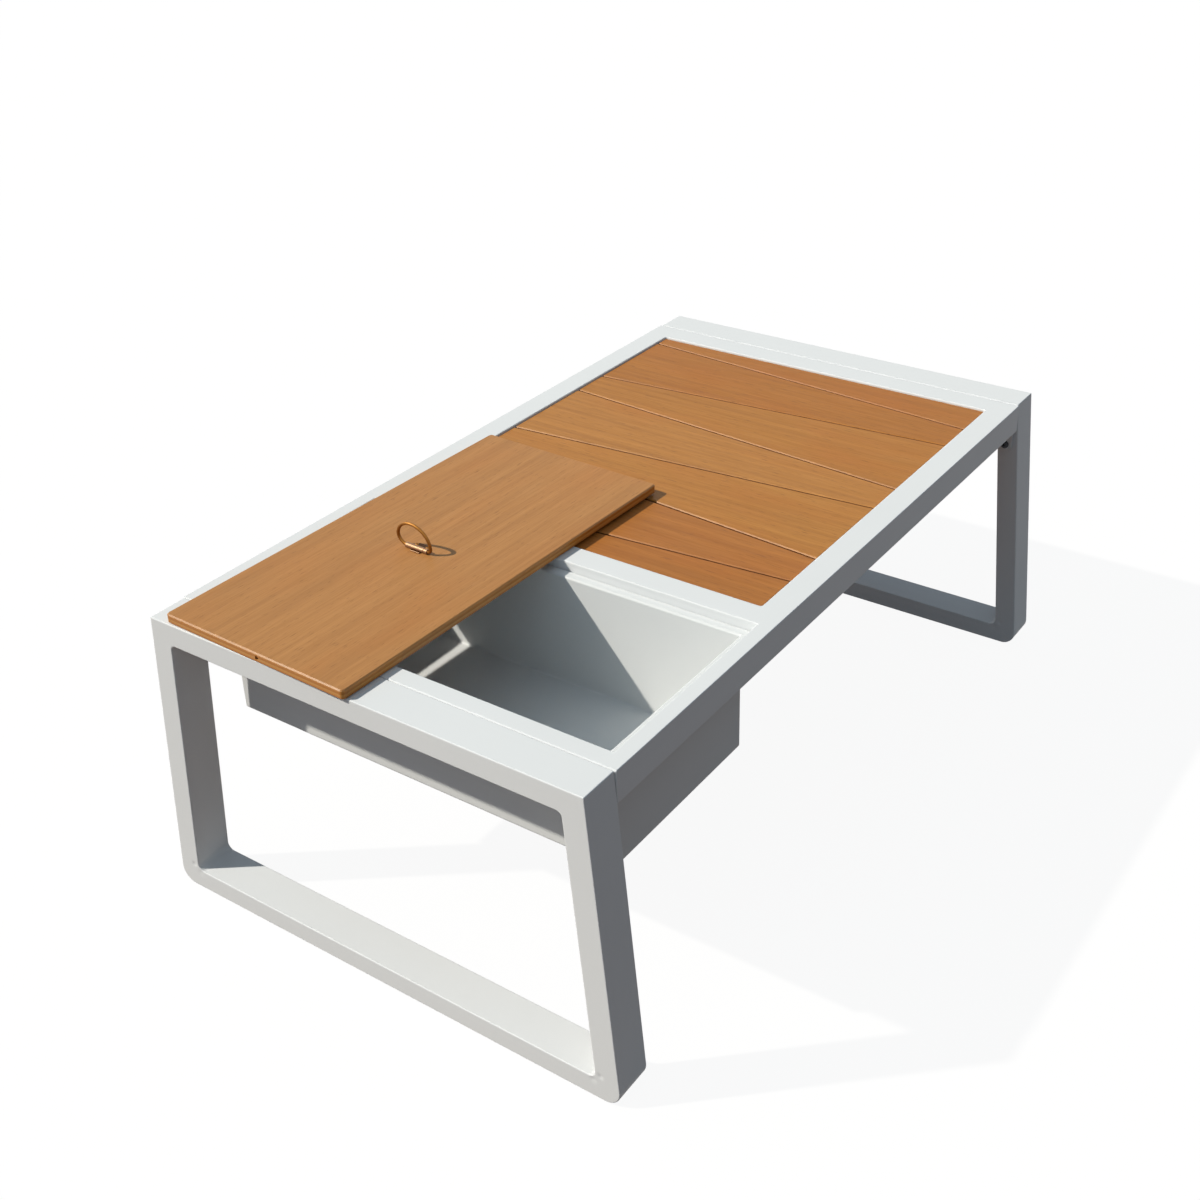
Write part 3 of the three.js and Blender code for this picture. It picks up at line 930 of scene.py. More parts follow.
@dataclass(frozen=True)
class AgedBrassWire(Metal):
    """Drawn brass wire, darkened and lacquered: brown in its own shade and pale gold in the sun."""

    name: str = "aged_brass_wire"
    colour: str = "#A07030"
    stain: str = "#875820"
    smooth: float = 0.5
    rough: float = 0.64
    lacquer: float = 0.3
    lacquer_roughness: float = 0.42

    def paint(self, tree: bpy.types.NodeTree, shader: bpy.types.Node) -> None:
        """Lays the lacquer over the clouded metal.

        Args:
            tree: The material's node tree.
            shader: Its Principled BSDF.
        """
        super().paint(tree, shader)
        shader.inputs["Coat Weight"].default_value = self.lacquer
        shader.inputs["Coat Roughness"].default_value = self.lacquer_roughness


@dataclass(frozen=True)
class BlackOxideSteel(Metal):
    """Steel blackened in a hot bath: near black, with a satin shine."""

    name: str = "black_oxide_steel"
    colour: str = "#303033"
    stain: str = "#242426"
    smooth: float = 0.32
    rough: float = 0.5


@dataclass(frozen=True)
class ZincPlatedSteel(Metal):
    """Steel plated with bright zinc: a cool grey with soft highlights."""

    name: str = "zinc_plated_steel"


@dataclass(frozen=True)
class MouldedPolyethylene(Finish):
    """Injection moulded polyethylene: matt black with the fine grain of its mould."""

    name: str = "moulded_polyethylene"
    colour: str = "#17171A"
    roughness: float = 0.55
    grain_mm: float = 0.8
    grain_depth: float = 0.05 * MM
    grain_strength: float = 0.6

    def paint(self, tree: bpy.types.NodeTree, shader: bpy.types.Node) -> None:
        """Sets the black and grains it.

        Args:
            tree: The material's node tree.
            shader: Its Principled BSDF.
        """
        shader.inputs["Base Color"].default_value = linear(self.colour)
        shader.inputs["Roughness"].default_value = self.roughness
        self.roughen(tree, shader, self.grain_mm, self.grain_depth, self.grain_strength)


# Sub-assemblies


@dataclass
class LegFrame:
    """One leg frame: a rectangular tube bent and welded into a loop, on two glides."""

    end: End
    top_half: float = 300.7 * MM
    splay: float = 32.1 * MM
    tube_depth: float = 30.4 * MM
    foot_bar: float = 27 * MM
    top_bar: float = 29 * MM
    edge: float = 1.3 * MM
    foot_bend: float = 20 * MM
    foot_inner_bend: float = 9 * MM
    shoulder_bend: float = 1.4 * MM
    shoulder_inner_bend: float = 7 * MM
    # Where the tube was bent, its sides are dented beside the inside of the bend. Each dent has its
    # place outward and upward of that corner, its depth and its spread.
    dents: tuple[tuple[float, float, float, float], ...] = (
        (6.7 * MM, 6.1 * MM, 0.8 * MM, 2 * MM),
        (-3.2 * MM, -3.5 * MM, 0.5 * MM, 2.6 * MM),
    )
    # How far from the end of a bend the straight tube still has extra points.
    stops: tuple[float, ...] = (1 * MM, 2 * MM, 3.2 * MM, 4.6 * MM, 6.5 * MM, 9.5 * MM, 14 * MM, 22 * MM)
    bend_steps: int = 18
    face_steps: int = 24
    edge_steps: int = 4

    def __post_init__(self) -> None:
        """Reads the loop's place from the frame."""
        self.low, self.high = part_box(f"leg_frame_{self.end.value[0]}")

    def half_width(self, height: float) -> float:
        """Gives half the loop's outer width at a height."""
        return self.top_half + self.splay * (self.high.z - height) / (self.high.z - self.low.z)

    def inner_foot_corner(self, inset: float = 0.0) -> Point:
        """Gives the loop's lower inside corner on the +Y side, with the skin set in."""
        height = self.low.z + self.foot_bar - inset
        return (self.half_width(height) - self.tube_depth + inset, height)

    def outer_loop(self, inset: float) -> list[Vector]:
        """Draws the loop's outer outline.

        Args:
            inset: How far it is set in from the skin.

        Returns:
            Its points.
        """
        foot = self.low.z + inset
        top = self.high.z - inset
        half_foot = self.half_width(foot) - inset
        half_top = self.half_width(top) - inset
        corners = [(-half_foot, foot), (half_foot, foot), (half_top, top), (-half_top, top)]
        bends = (self.foot_bend, self.foot_bend, self.shoulder_bend, self.shoulder_bend)
        return self.with_stops(round_corners(corners, [max(b - inset, 0) for b in bends], self.bend_steps))

    def inner_loop(self, inset: float) -> list[Vector]:
        """Draws the loop's inner outline.

        Args:
            inset: How far it is set in from the skin.

        Returns:
            Its points.
        """
        half_foot, foot = self.inner_foot_corner(inset)
        top = self.high.z - self.top_bar + inset
        half_top = self.half_width(top) - self.tube_depth + inset
        corners = [(-half_foot, foot), (half_foot, foot), (half_top, top), (-half_top, top)]
        bends = (self.foot_inner_bend,) * 2 + (self.shoulder_inner_bend,) * 2
        return self.with_stops(round_corners(corners, [b + inset for b in bends], self.bend_steps))

    def with_stops(self, outline: Sequence[Vector]) -> list[Vector]:
        """Adds points to the straight runs of an outline, close to its bends.

        Args:
            outline: The outline, with the same number of points at each of its corners.

        Returns:
            The outline with the extra points.
        """
        per_bend = self.bend_steps + 1
        points = []
        for start in range(0, len(outline), per_bend):
            points.extend(outline[start:start + per_bend])
            here = outline[start + per_bend - 1]
            there = outline[(start + per_bend) % len(outline)]
            way = (there - here).normalized()
            points.extend(here + way * stop for stop in self.stops)
            points.extend(there - way * stop for stop in reversed(self.stops))
        return points

    def dent_at(self, y: float, z: float) -> float:
        """Gives how deep the tube's side is dented at a point of the loop's plane.

        Args:
            y: The point's place across the table.
            z: Its height.

        Returns:
            The depth, which falls off round each dent as a bell curve.
        """
        corner_y, corner_z = self.inner_foot_corner()
        depth = 0.0
        for outward, upward, deepest, spread in self.dents:
            away = Vector((abs(y) - corner_y - outward, z - corner_z - upward)).length
            depth += deepest * math.exp(-0.5 * (away / spread) ** 2)
        return depth

    def section(self) -> list[tuple[float, float, float]]:
        """Goes round the tube's section.

        Returns:
            Points as the share across the tube from its outer to its inner skin, the inset from
            that skin and the place across the tube along X, as a share of half its width.
        """
        half = (self.high.x - self.low.x) / 2
        rim = [
            (self.edge * (1 - math.cos(a)), half - self.edge + self.edge * math.sin(a))
            for a in quarter_turn(self.edge_steps)
        ]
        shares = [step / self.face_steps for step in range(1, self.face_steps)]
        side = [(0.0, inset, x) for inset, x in rim]
        side += [(share, self.edge, half) for share in shares]
        side += [(1.0, inset, x) for inset, x in reversed(rim)]
        return side + [(share, inset, -x) for share, inset, x in reversed(side)]

    def loop_mesh(self) -> bpy.types.Mesh:
        """Builds the bent tube, with its dents.

        Returns:
            The mesh, in its place.
        """
        middle = (self.low.x + self.high.x) / 2
        rings = []
        for share, inset, x in self.section():
            ring = []
            for outer, inner in zip(self.outer_loop(inset), self.inner_loop(inset), strict=True):
                y, z = outer.lerp(inner, share)
                sunk = self.dent_at(y, z) if 0 < share < 1 else 0.0
                ring.append(Vector((middle + x - math.copysign(sunk, x), y, z)))
            rings.append(ring)
        return skin(f"leg_loop_{self.end.value[0]}", rings, looped=True)

    def build(self) -> None:
        """Places the loop and dresses the glides and the nuts set in it."""
        coat = PowderCoatedAluminium().material()
        place(self.loop_mesh(), coat, replaces=[f"leg_frame_{self.end.value[0]}"])
        for side in Side:
            where = f"{self.end.value[0]}_{side.value}"
            dress_node(f"glide_{where}", MouldedPolyethylene().material())
            dress_node(f"corner_nut_{where}", ZincPlatedSteel().material())


@dataclass
class TopFrame:
    """The rails and the slats' surround, welded flush and coated as one, and their bolts."""

    # The long rails stand out past the tops of the splayed legs, so a thin dark line parts the two.
    rail_reach: float = 302.8 * MM
    outer_edge: float = 1 * MM
    opening_edge: float = 1.6 * MM
    surround_width: float = 15 * MM
    surround_sheet: float = 3 * MM
    web: float = 2 * MM
    lip_width: float = 12 * MM
    lip_sheet: float = 2 * MM
    field_corner: float = 3 * MM
    ear_edge: float = 0.5 * MM
    ear_edge_steps: int = 2
    bolt_hole: float = 3.3 * MM
    bolt_head: float = 6 * MM
    bolt_head_height: float = 3.3 * MM
    bolt_rim: float = 1.2 * MM
    bolt_tip: float = 0.2
    socket: float = 2.3 * MM
    socket_depth: float = 2 * MM
    socket_sides: int = 6
    hole_sides: int = 32
    ear_steps: int = 24
    field_corner_steps: int = 5
    outer_edge_steps: int = 4
    opening_edge_steps: int = 3

    cross_rails = ("end_rail_bucket_end", "end_rail_slat_end", "crossrail")

    def rail_boxes(self) -> list[Box]:
        """Gives the place of each rail.

        Returns:
            The lowest and highest corner of each.
        """
        front_low, front_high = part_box("long_rail_front")
        back_low, back_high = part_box("long_rail_back")
        front_low.y = -self.rail_reach
        back_high.y = self.rail_reach
        cross = [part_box(rail) for rail in self.cross_rails]
        return [(front_low, front_high), (back_low, back_high), *cross]

    def ring_boxes(self, hole: Box, width: float, bottom: float, top: float) -> list[Box]:
        """Gives four bars round a rectangular hole.

        Args:
            hole: The lowest and highest corner of the hole.
            width: How wide the bars are.
            bottom: The height of their underside.
            top: The height of their top.

        Returns:
            The lowest and highest corner of each bar.
        """
        low, high = hole
        spans = (
            (low.x - width, low.y - width, high.x + width, low.y),
            (low.x - width, high.y, high.x + width, high.y + width),
            (low.x - width, low.y, low.x, high.y),
            (high.x, low.y, high.x + width, high.y),
        )
        return [(Vector((x0, y0, bottom)), Vector((x1, y1, top))) for x0, y0, x1, y1 in spans]

    def frame_mesh(self) -> bpy.types.Mesh:
        """Builds the welded frame as one skin and rounds its edges.

        Returns:
            The mesh, in its place.
        """
        low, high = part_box("slat_surround")
        margin = Vector((self.surround_width, self.surround_width, 0))
        field = (low + margin, high - margin)
        lip = Vector((self.lip_width, self.lip_width, 0))
        inside_lip = (field[0] + lip, field[1] - lip)
        boxes = self.rail_boxes()
        boxes += self.ring_boxes(field, self.surround_width, high.z - self.surround_sheet, high.z)
        boxes += self.ring_boxes(field, self.web, low.z, high.z - self.surround_sheet)
        boxes += self.ring_boxes(inside_lip, self.lip_width, low.z, low.z + self.lip_sheet)
        mesh = weld_boxes("welded_top_frame", boxes)

        def is_field_corner(edge: bmesh.types.BMEdge) -> bool:
            """Tells whether an edge stands in a corner of the slats' field.

            Args:
                edge: The edge.

            Returns:
                Whether it does.
            """
            x, y = (edge.verts[0].co.xy + edge.verts[1].co.xy) / 2
            in_x = min(abs(x - field[0].x), abs(x - field[1].x)) < MERGE_DISTANCE
            in_y = min(abs(y - field[0].y), abs(y - field[1].y)) < MERGE_DISTANCE
            return in_x and in_y and abs(edge.verts[0].co.z - edge.verts[1].co.z) > MERGE_DISTANCE

        def is_outer(edge: bmesh.types.BMEdge) -> bool:
            """Tells whether an edge lies on the outside of the frame."""
            return all(abs(abs(vertex.co.y) - self.rail_reach) < MERGE_DISTANCE for vertex in edge.verts)

        def is_outward(edge: bmesh.types.BMEdge) -> bool:
            """Tells whether an edge is a ridge and not a groove."""
            return edge.calc_face_angle_signed(0) > 0

        ease(mesh, self.field_corner, self.field_corner_steps, is_field_corner)
        ease(mesh, self.outer_edge, self.outer_edge_steps, is_outer)
        return ease(mesh, self.opening_edge, self.opening_edge_steps, is_outward)

    def ear_mesh(self, node: str) -> bpy.types.Mesh:
        """Builds one ear of thick sheet, with the hole for its bolt.

        Args:
            node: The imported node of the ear.

        Returns:
            The mesh, in its place.
        """
        low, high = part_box(node)
        radius = (high.y - low.y) / 2
        middle_y = (low.y + high.y) / 2
        hole_z = low.z + radius
        outline = [(low.y, high.z), (high.y, high.z)]
        outline += arc((middle_y, hole_z), radius, 0, -180, self.ear_steps)
        plate = skin(node, [[Vector((x, y, z)) for y, z in outline] for x in (low.x, high.x)])

        def is_below_weld(edge: bmesh.types.BMEdge) -> bool:
            """Tells whether an edge lies below the rail that the ear is welded to."""
            return min(vertex.co.z for vertex in edge.verts) < high.z - MERGE_DISTANCE

        ease(plate, self.ear_edge, self.ear_edge_steps, is_below_weld)
        span = [(self.bolt_hole, -self.bolt_head), (self.bolt_hole, self.bolt_head)]
        hole = turned("hole", span, self.hole_sides)
        where = Matrix.Translation(((low.x + high.x) / 2, middle_y, hole_z))
        hole.transform(where @ Matrix.Rotation(math.pi / 2, 4, "Y"))
        return combine(plate, hole, Cut.TAKE_AWAY)

    def bolt_mesh(self, node: str, way: int) -> bpy.types.Mesh:
        """Builds a button head bolt with a hexagon socket.

        Args:
            node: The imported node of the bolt.
            way: The way along X from its head to its tip.

        Returns:
            The mesh, in its place.
        """
        low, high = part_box(node)
        flat = self.socket + self.bolt_rim
        crown = self.bolt_head_height - self.bolt_rim
        shank = high.x - low.x - self.bolt_head_height
        radius = self.bolt_head / 2
        tip = radius * self.bolt_tip
        profile = [(0.0, -shank), (radius - tip, -shank), (radius, tip - shank), (radius, 0.0)]
        profile += [(self.bolt_head, 0.0), (self.bolt_head, self.bolt_rim)]
        profile += [
            (flat + (self.bolt_head - flat) * math.cos(a), self.bolt_rim + crown * math.sin(a))
            for a in quarter_turn(DOME_STEPS)[1:]
        ]
        profile.append((0.0, self.bolt_head_height))
        bolt = turned(node, profile)
        socket_floor = self.bolt_head_height - self.socket_depth
        key = [(self.socket, socket_floor), (self.socket, 2 * self.bolt_head_height)]
        bolt = combine(bolt, turned("key", key, self.socket_sides), Cut.TAKE_AWAY)
        head_x = low.x + self.bolt_head_height if way > 0 else high.x - self.bolt_head_height
        middle = (low + high) / 2
        bolt.transform(
            Matrix.Translation((head_x, middle.y, middle.z)) @ Matrix.Rotation(-way * math.pi / 2, 4, "Y")
        )
        return bolt

    def build(self) -> None:
        """Places the frame, the ears and the bolts."""
        coat = PowderCoatedAluminium().material()
        frame_nodes = ["long_rail_front", "long_rail_back", *self.cross_rails, "slat_surround"]
        place(self.frame_mesh(), coat, replaces=frame_nodes)
        for end in End:
            for side in Side:
                where = f"{end.value[0]}_{side.value}"
                ear = self.ear_mesh(f"corner_ear_{where}")
                ear.name = f"welded_ear_{where}"
                place(ear, coat, replaces=[f"corner_ear_{where}"])
                bolt = self.bolt_mesh(f"corner_bolt_{where}", end.value[1])
                bolt.name = f"button_bolt_{where}"
                place(bolt, BlackOxideSteel().material(), replaces=[f"corner_bolt_{where}"])


@dataclass
class SlattedTop:
    """The wedge slats, the bearer under them and the screws that hold them from below."""

    chamfer: float = 1.2 * MM
    corner: float = 2.2 * MM
    lean: float = 0.0855
    lip_middle: float = 6 * MM
    bearer_sheet: float = 1.5 * MM
    screw_head: float = 3.6 * MM
    screw_head_height: float = 2 * MM
    screw_head_steps: int = 5
    screw_head_sides: int = 24
    # Where a pair of screws sits, as shares of the way across the slat.
    screw_shares: tuple[float, float] = (0.25, 0.75)
    # How far apart in the noise two slats lie, so that no two have the same figure.
    seed_step: float = 7.3

    count = 7

    # Each board was cut from another plank, so its tone and its share of red differ.
    tones = (
        ("#965C23", "#A6692A", "#B2722F", "#A96222"),
        ("#995E25", "#A96B2D", "#B57532", "#AC6424"),
        ("#9F682B", "#B07734", "#BC813A", "#B36F2B"),
        ("#A0692E", "#B17837", "#BE823D", "#B5702D"),
        ("#9D6527", "#AD732F", "#B97D35", "#B06B27"),
        ("#985E20", "#A86B26", "#B4742B", "#AB631F"),
        ("#975D20", "#A76926", "#B3732B", "#AA621F"),
    )

    def edges_at(self, number: int, side: Side) -> Point:
        """Gives where one end of a slat lies along X.

        Args:
            number: The slat's number, from 1 at the bucket.
            side: The long side of the table at which the end lies.

        Returns:
            The X of the slat's near and far edge there.
        """
        low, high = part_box(f"slat_{number}")
        rise = self.lean * (high.y - low.y)
        forward = side is Side.FRONT
        near = low.x + rise if number > 1 and forward == ((number - 1) % 2 == 1) else low.x
        far = high.x - rise if number < self.count and forward == (number % 2 == 0) else high.x
        return (near, far)

    def slat_mesh(self, number: int) -> bpy.types.Mesh:
        """Builds one slat, with its chamfered edges.

        Args:
            number: The slat's number, from 1 at the bucket.

        Returns:
            The mesh, in its place.
        """
        low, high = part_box(f"slat_{number}")
        (front_near, front_far), (back_near, back_far) = (self.edges_at(number, side) for side in Side)
        corners = [(front_near, low.y), (front_far, low.y), (back_far, high.y), (back_near, high.y)]
        near_radius = self.corner if number == 1 else 0.0
        far_radius = self.corner if number == self.count else 0.0
        outline = round_corners(corners, [near_radius, far_radius, far_radius, near_radius])
        return ease(prism(f"hardwood_slat_{number}", outline, low.z, high.z), self.chamfer, 1)

    def screw_head_mesh(self) -> bpy.types.Mesh:
        """Builds one pan head, which hangs down from zero.

        Returns:
            The mesh.
        """
        profile = [(0.0, 0.0), (self.screw_head, 0.0)]
        profile += [
            (self.screw_head * math.cos(a), -self.screw_head_height * math.sin(a))
            for a in quarter_turn(self.screw_head_steps)[1:-1]
        ]
        profile.append((0.0, -self.screw_head_height))
        return turned("head", profile, self.screw_head_sides)

    def screw_mesh(self, number: int) -> bpy.types.Mesh:
        """Builds the heads of one slat's screws, two at the bearer and two at each end.

        Args:
            number: The slat's number, from 1 at the bucket.

        Returns:
            The mesh, in its place.
        """
        low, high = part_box(f"slat_{number}")
        lip_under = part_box("slat_surround")[0].z
        web_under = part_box("slat_bearer")[1].z - self.bearer_sheet
        front, back = (self.edges_at(number, side) for side in Side)
        front_y, back_y = low.y + self.lip_middle, high.y - self.lip_middle
        heads = []
        for y, under in ((front_y, lip_under), (0.0, web_under), (back_y, lip_under)):
            share = (y - low.y) / (high.y - low.y)
            near = front[0] + (back[0] - front[0]) * share
            far = front[1] + (back[1] - front[1]) * share
            for across in self.screw_shares:
                head = self.screw_head_mesh()
                head.transform(Matrix.Translation((near + (far - near) * across, y, under)))
                heads.append(head)
        return join_meshes(f"slat_screws_{number}", heads)

    def build(self) -> None:
        """Places the slats and their screws and dresses the bearer."""
        for number, (deep, middle, pale, blush) in enumerate(self.tones, start=1):
            wood = OiledWood(
                name=f"oiled_slat_{number}",
                seed=self.seed_step * number,
                deep=deep,
                middle=middle,
                pale=pale,
                blush=blush,
            )
            place(self.slat_mesh(number), wood.material(), replaces=[f"slat_{number}"])
            place(self.screw_mesh(number), ZincPlatedSteel().material())
        dress_node("slat_bearer", PowderCoatedAluminium().material())


@dataclass
class Bucket:
    """The bucket folded from one sheet, hung by its flange on four angles."""

    sheet: float = 1.5 * MM
    seat: float = 13.7 * MM
    flange: float = 12.2 * MM
    corner: float = 1 * MM
    sunk: float = 3.5 * MM
    floor_bend: float = 3 * MM
    flange_bend: float = 3 * MM
    rim_corner: float = 1 * MM
    steps: int = 6

    def section(self) -> list[Point]:
        """Goes over the folded sheet, from under its floor up the outside and down the inside.

        Returns:
            Points as the distance out from the bucket's inner wall and the height.
        """
        low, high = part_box("tub")
        floor = low.z - self.sunk + self.sheet
        low_bend = (-self.floor_bend, floor + self.floor_bend)
        high_bend = (self.flange_bend, high.z - self.flange_bend)
        points = arc(low_bend, self.floor_bend + self.sheet, -90, 0, self.steps)
        points += arc(high_bend, self.flange_bend - self.sheet, 180, 90, self.steps)
        points += [(self.flange, high.z - self.sheet), (self.flange, high.z)]
        points += arc(high_bend, self.flange_bend, 90, 180, self.steps)
        points += arc(low_bend, self.floor_bend, 0, -90, self.steps)
        return points

    def tub_mesh(self) -> bpy.types.Mesh:
        """Builds the folded sheet.

        Returns:
            The mesh, in its place.
        """
        low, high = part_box("tub")
        middle = (low + high) / 2
        half = (high - low) / 2 - Vector((self.seat, self.seat, 0))
        rings = []
        for out, z in self.section():
            reach = Vector((half.x + out, half.y + out))
            radius = self.rim_corner if out == self.flange else self.corner + max(out, 0.0)
            outline = round_corners(rectangle(-reach, reach), [radius] * 4)
            rings.append([Vector((middle.x + x, middle.y + y, z)) for x, y in outline])
        return skin("folded_tub", rings)

    def build(self) -> None:
        """Places the tub and dresses the angles that carry it."""
        coat = PowderCoatedSteel().material()
        place(self.tub_mesh(), coat, replaces=["tub"])
        for side in ("front", "back", "bucket_end", "crossrail"):
            dress_node(f"ledge_{side}", coat)


@dataclass
class Lid:
    """The bucket's lid: an oiled plywood board that lies across the top while the bucket is in use."""

    clearance: float = 2.75 * MM
    # Boards are sawn to a millimetre or so and laid down by eye, so each side has its own allowance.
    near_end: float = -2 * MM
    far_end: float = 4 * MM
    front: float = 3.5 * MM
    corner: float = 5 * MM
    corner_steps: int = 8
    chamfer: float = 1.5 * MM
    hole: float = 2.5 * MM
    hole_depth: float = 12 * MM
    hole_aside: float = -10.7 * MM
    hole_sides: int = 32
    seed: float = 3.1

    def board_mesh(self) -> bpy.types.Mesh:
        """Builds the board, with its length along X and its underside at zero.

        Returns:
            The mesh.
        """
        low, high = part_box("lid")
        opening_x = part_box("crossrail")[0].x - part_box("end_rail_bucket_end")[1].x
        opening_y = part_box("long_rail_back")[0].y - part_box("long_rail_front")[1].y
        half = Vector((opening_y / 2 - self.clearance, opening_x / 2 - self.clearance))
        near = -half.x - self.near_end
        corners = rectangle((near, -half.y - self.front), (half.x + self.far_end, half.y))
        outline = round_corners(corners, [self.corner] * len(corners), self.corner_steps)
        board = ease(prism("plywood_lid", outline, 0.0, high.z - low.z), self.chamfer, 1)
        span = [(self.hole, -self.hole_depth), (self.hole, self.hole_depth)]
        drill = turned("drill", span, self.hole_sides)
        middle = Matrix.Translation((near, self.hole_aside, (high.z - low.z) / 2))
        drill.transform(middle @ Matrix.Rotation(math.pi / 2, 4, "Y"))
        return combine(board, drill, Cut.TAKE_AWAY)

    def build(self) -> None:
        """Places the board."""
        low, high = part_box("lid")
        middle = (low + high) / 2
        where = Matrix.Translation((middle.x, middle.y, low.z)) @ lid_turn()
        wood = OiledPlywood(seed=self.seed, thickness=high.z - low.z)
        place(self.board_mesh(), wood.material(), Body.LID, ["lid"], where)


def ring_joint() -> dict:
    """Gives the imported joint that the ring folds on."""
    return next(joint for joint in frame["joints"] if joint["name"] == "ring_fold")


def lid_turn() -> Matrix:
    """Gives how the lid is turned about Z, from the axis of its ring."""
    axis = ring_joint()["axis"]
    return Matrix.Rotation(-math.atan2(axis[0], axis[1]), 4, "Z")


@dataclass
class RingPull:
    """The ring pull: a leaf with a barrel, screwed to the lid, and a wire ring that folds in it."""

    # The leaf is screwed on a little to the front of the ring's middle.
    aside: float = -2.7 * MM
    tongue_behind: float = 5.9 * MM
    tongue_half: float = 7.5 * MM
    tongue_corner: float = 1 * MM
    leaf_ahead: float = 14 * MM
    leaf_half: float = 10 * MM
    leaf_sheet: float = 1.5 * MM
    leaf_corner: float = 3 * MM
    leaf_edge: float = 0.7 * MM
    barrel_sides: int = 48
    barrel: float = 3.4 * MM
    barrel_half: float = 17 * MM
    barrel_edge: float = 0.4 * MM
    knuckle: float = 5 * MM
    knuckle_gap: float = 0.7 * MM
    knuckle_gap_depth: float = 0.8 * MM
    bore: float = 2.6 * MM
    wire: float = 2.1 * MM
    ring: float = 25 * MM
    ring_rise: float = 9 * MM
    # The wire goes into the far end of the barrel with a wider bend than into its near end.
    near_bend: float = 5 * MM
    far_bend: float = 12 * MM
    bend_steps: int = 10
    half_ring_steps: int = 40
    wire_sides: int = 24
    ring_gap: float = 4 * MM
    lean_deg: float = -7.8
    head: float = 2.6 * MM
    head_height: float = 1.3 * MM
    slot_width: float = 0.6 * MM
    slot_length: float = 2.8 * MM
    slot_depth: float = 0.8 * MM

    @property
    def axis_height(self) -> float:
        """How high the ring's axis lies over the board under the leaf."""
        return ring_joint()["pos_m"][2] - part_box("pull_leaf")[0].z

    def where(self) -> Matrix:
        """Gives the place of the ring's axis, turned as the lid is."""
        return Matrix.Translation(ring_joint()["pos_m"]) @ lid_turn()

    def leaf_mesh(self) -> bpy.types.Mesh:
        """Builds the plate with its tongue and its barrel, whose axis is Y through zero.

        Returns:
            The mesh.
        """
        half, tongue = self.leaf_half, self.tongue_half
        corners = [(-self.tongue_behind, -tongue), (0.0, -tongue), (0.0, -half), (self.leaf_ahead, -half)]
        corners += [(x, -y) for x, y in reversed(corners)]
        radii = [self.tongue_corner, 0.0, 0.0, self.leaf_corner]
        outline = round_corners(corners, radii + radii[::-1])
        under = -self.axis_height
        plate = prism("pull_leaf_rolled", outline, under, under + self.leaf_sheet)
        ease(plate, self.leaf_edge)
        along_y = Matrix.Rotation(math.pi / 2, 4, "X")
        rim = self.barrel_half - self.barrel_edge
        cut = self.barrel_half - self.knuckle
        groove = self.barrel - self.knuckle_gap_depth
        profile = [
            (self.barrel - self.barrel_edge, -self.barrel_half),
            (self.barrel, -rim),
            (self.barrel, cut - self.knuckle_gap),
            (groove, cut - self.knuckle_gap),
            (groove, cut),
            (self.barrel, cut),
            (self.barrel, rim),
            (self.barrel - self.barrel_edge, self.barrel_half),
        ]
        roll = turned("roll", profile, self.barrel_sides)
        roll.transform(along_y)
        span = [(self.bore, -2 * self.barrel_half), (self.bore, 2 * self.barrel_half)]
        bore = turned("bore", span, self.barrel_sides)
        bore.transform(along_y)
        return combine(combine(plate, roll, Cut.ADD), bore, Cut.TAKE_AWAY)

    def wire_path(self) -> list[Point]:
        """Draws the ring's centreline, with its barrel along the first axis.

        Returns:
            The points from one end inside the barrel round to the other.
        """
        far, near = (self.half_wire_path(bend) for bend in (self.far_bend, self.near_bend))
        return far + [(-x, z) for x, z in reversed(near[:-1])]

    def half_wire_path(self, bend: float) -> list[Point]:
        """Draws half of the ring's centreline, from its end inside the barrel to its top.

        Args:
            bend: The radius of the bend between the barrel and the round of the ring.

        Returns:
            The points of that half.
        """
        bend_x = math.sqrt((self.ring - bend) ** 2 - (self.ring_rise - bend) ** 2)
        meet_deg = math.degrees(math.atan2(bend - self.ring_rise, bend_x))
        points = [(self.ring_gap / 2, 0.0), *arc((bend_x, bend), bend, -90, meet_deg, self.bend_steps)]
        return points + arc((0.0, self.ring_rise), self.ring, meet_deg, 90, self.half_ring_steps)[1:]

    def ring_mesh(self) -> bpy.types.Mesh:
        """Sweeps the wire along its centreline.

        Returns:
            The mesh, with the ring's axis along Y through zero.
        """
        path = [Vector(point) for point in self.wire_path()]
        rings = []
        for index, here in enumerate(path):
            way = (path[min(index + 1, len(path) - 1)] - path[max(index - 1, 0)]).normalized()
            out = Vector((way.y, -way.x))
            ring = []
            for angle in full_turn(self.wire_sides):
                spot = here + out * (self.wire * math.cos(angle))
                ring.append(Vector((self.wire * math.sin(angle), spot.x, spot.y)))
            rings.append(ring)
        return skin("pull_wire_ring", rings)

    def screw_mesh(self, node: str) -> bpy.types.Mesh:
        """Builds the domed head of one screw, with its cross recess.

        Args:
            node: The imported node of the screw.

        Returns:
            The mesh, in its place.
        """
        low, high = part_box(node)
        dome = quarter_turn(DOME_STEPS)[:-1]
        profile = [(0.0, 0.0)] + [(self.head * math.cos(a), self.head_height * math.sin(a)) for a in dome]
        profile.append((0.0, self.head_height))
        screw = turned(node, profile)
        slot_floor = self.head_height - self.slot_depth
        for length, width in ((self.slot_length, self.slot_width), (self.slot_width, self.slot_length)):
            corners = rectangle((-length / 2, -width / 2), (length / 2, width / 2))
            tool = prism("recess", corners, slot_floor, 2 * self.head_height)
            screw = combine(screw, tool, Cut.TAKE_AWAY)
        middle = (low + high) / 2
        screw.transform(Matrix.Translation((middle.x, middle.y + self.aside, high.z - self.head_height)))
        return screw

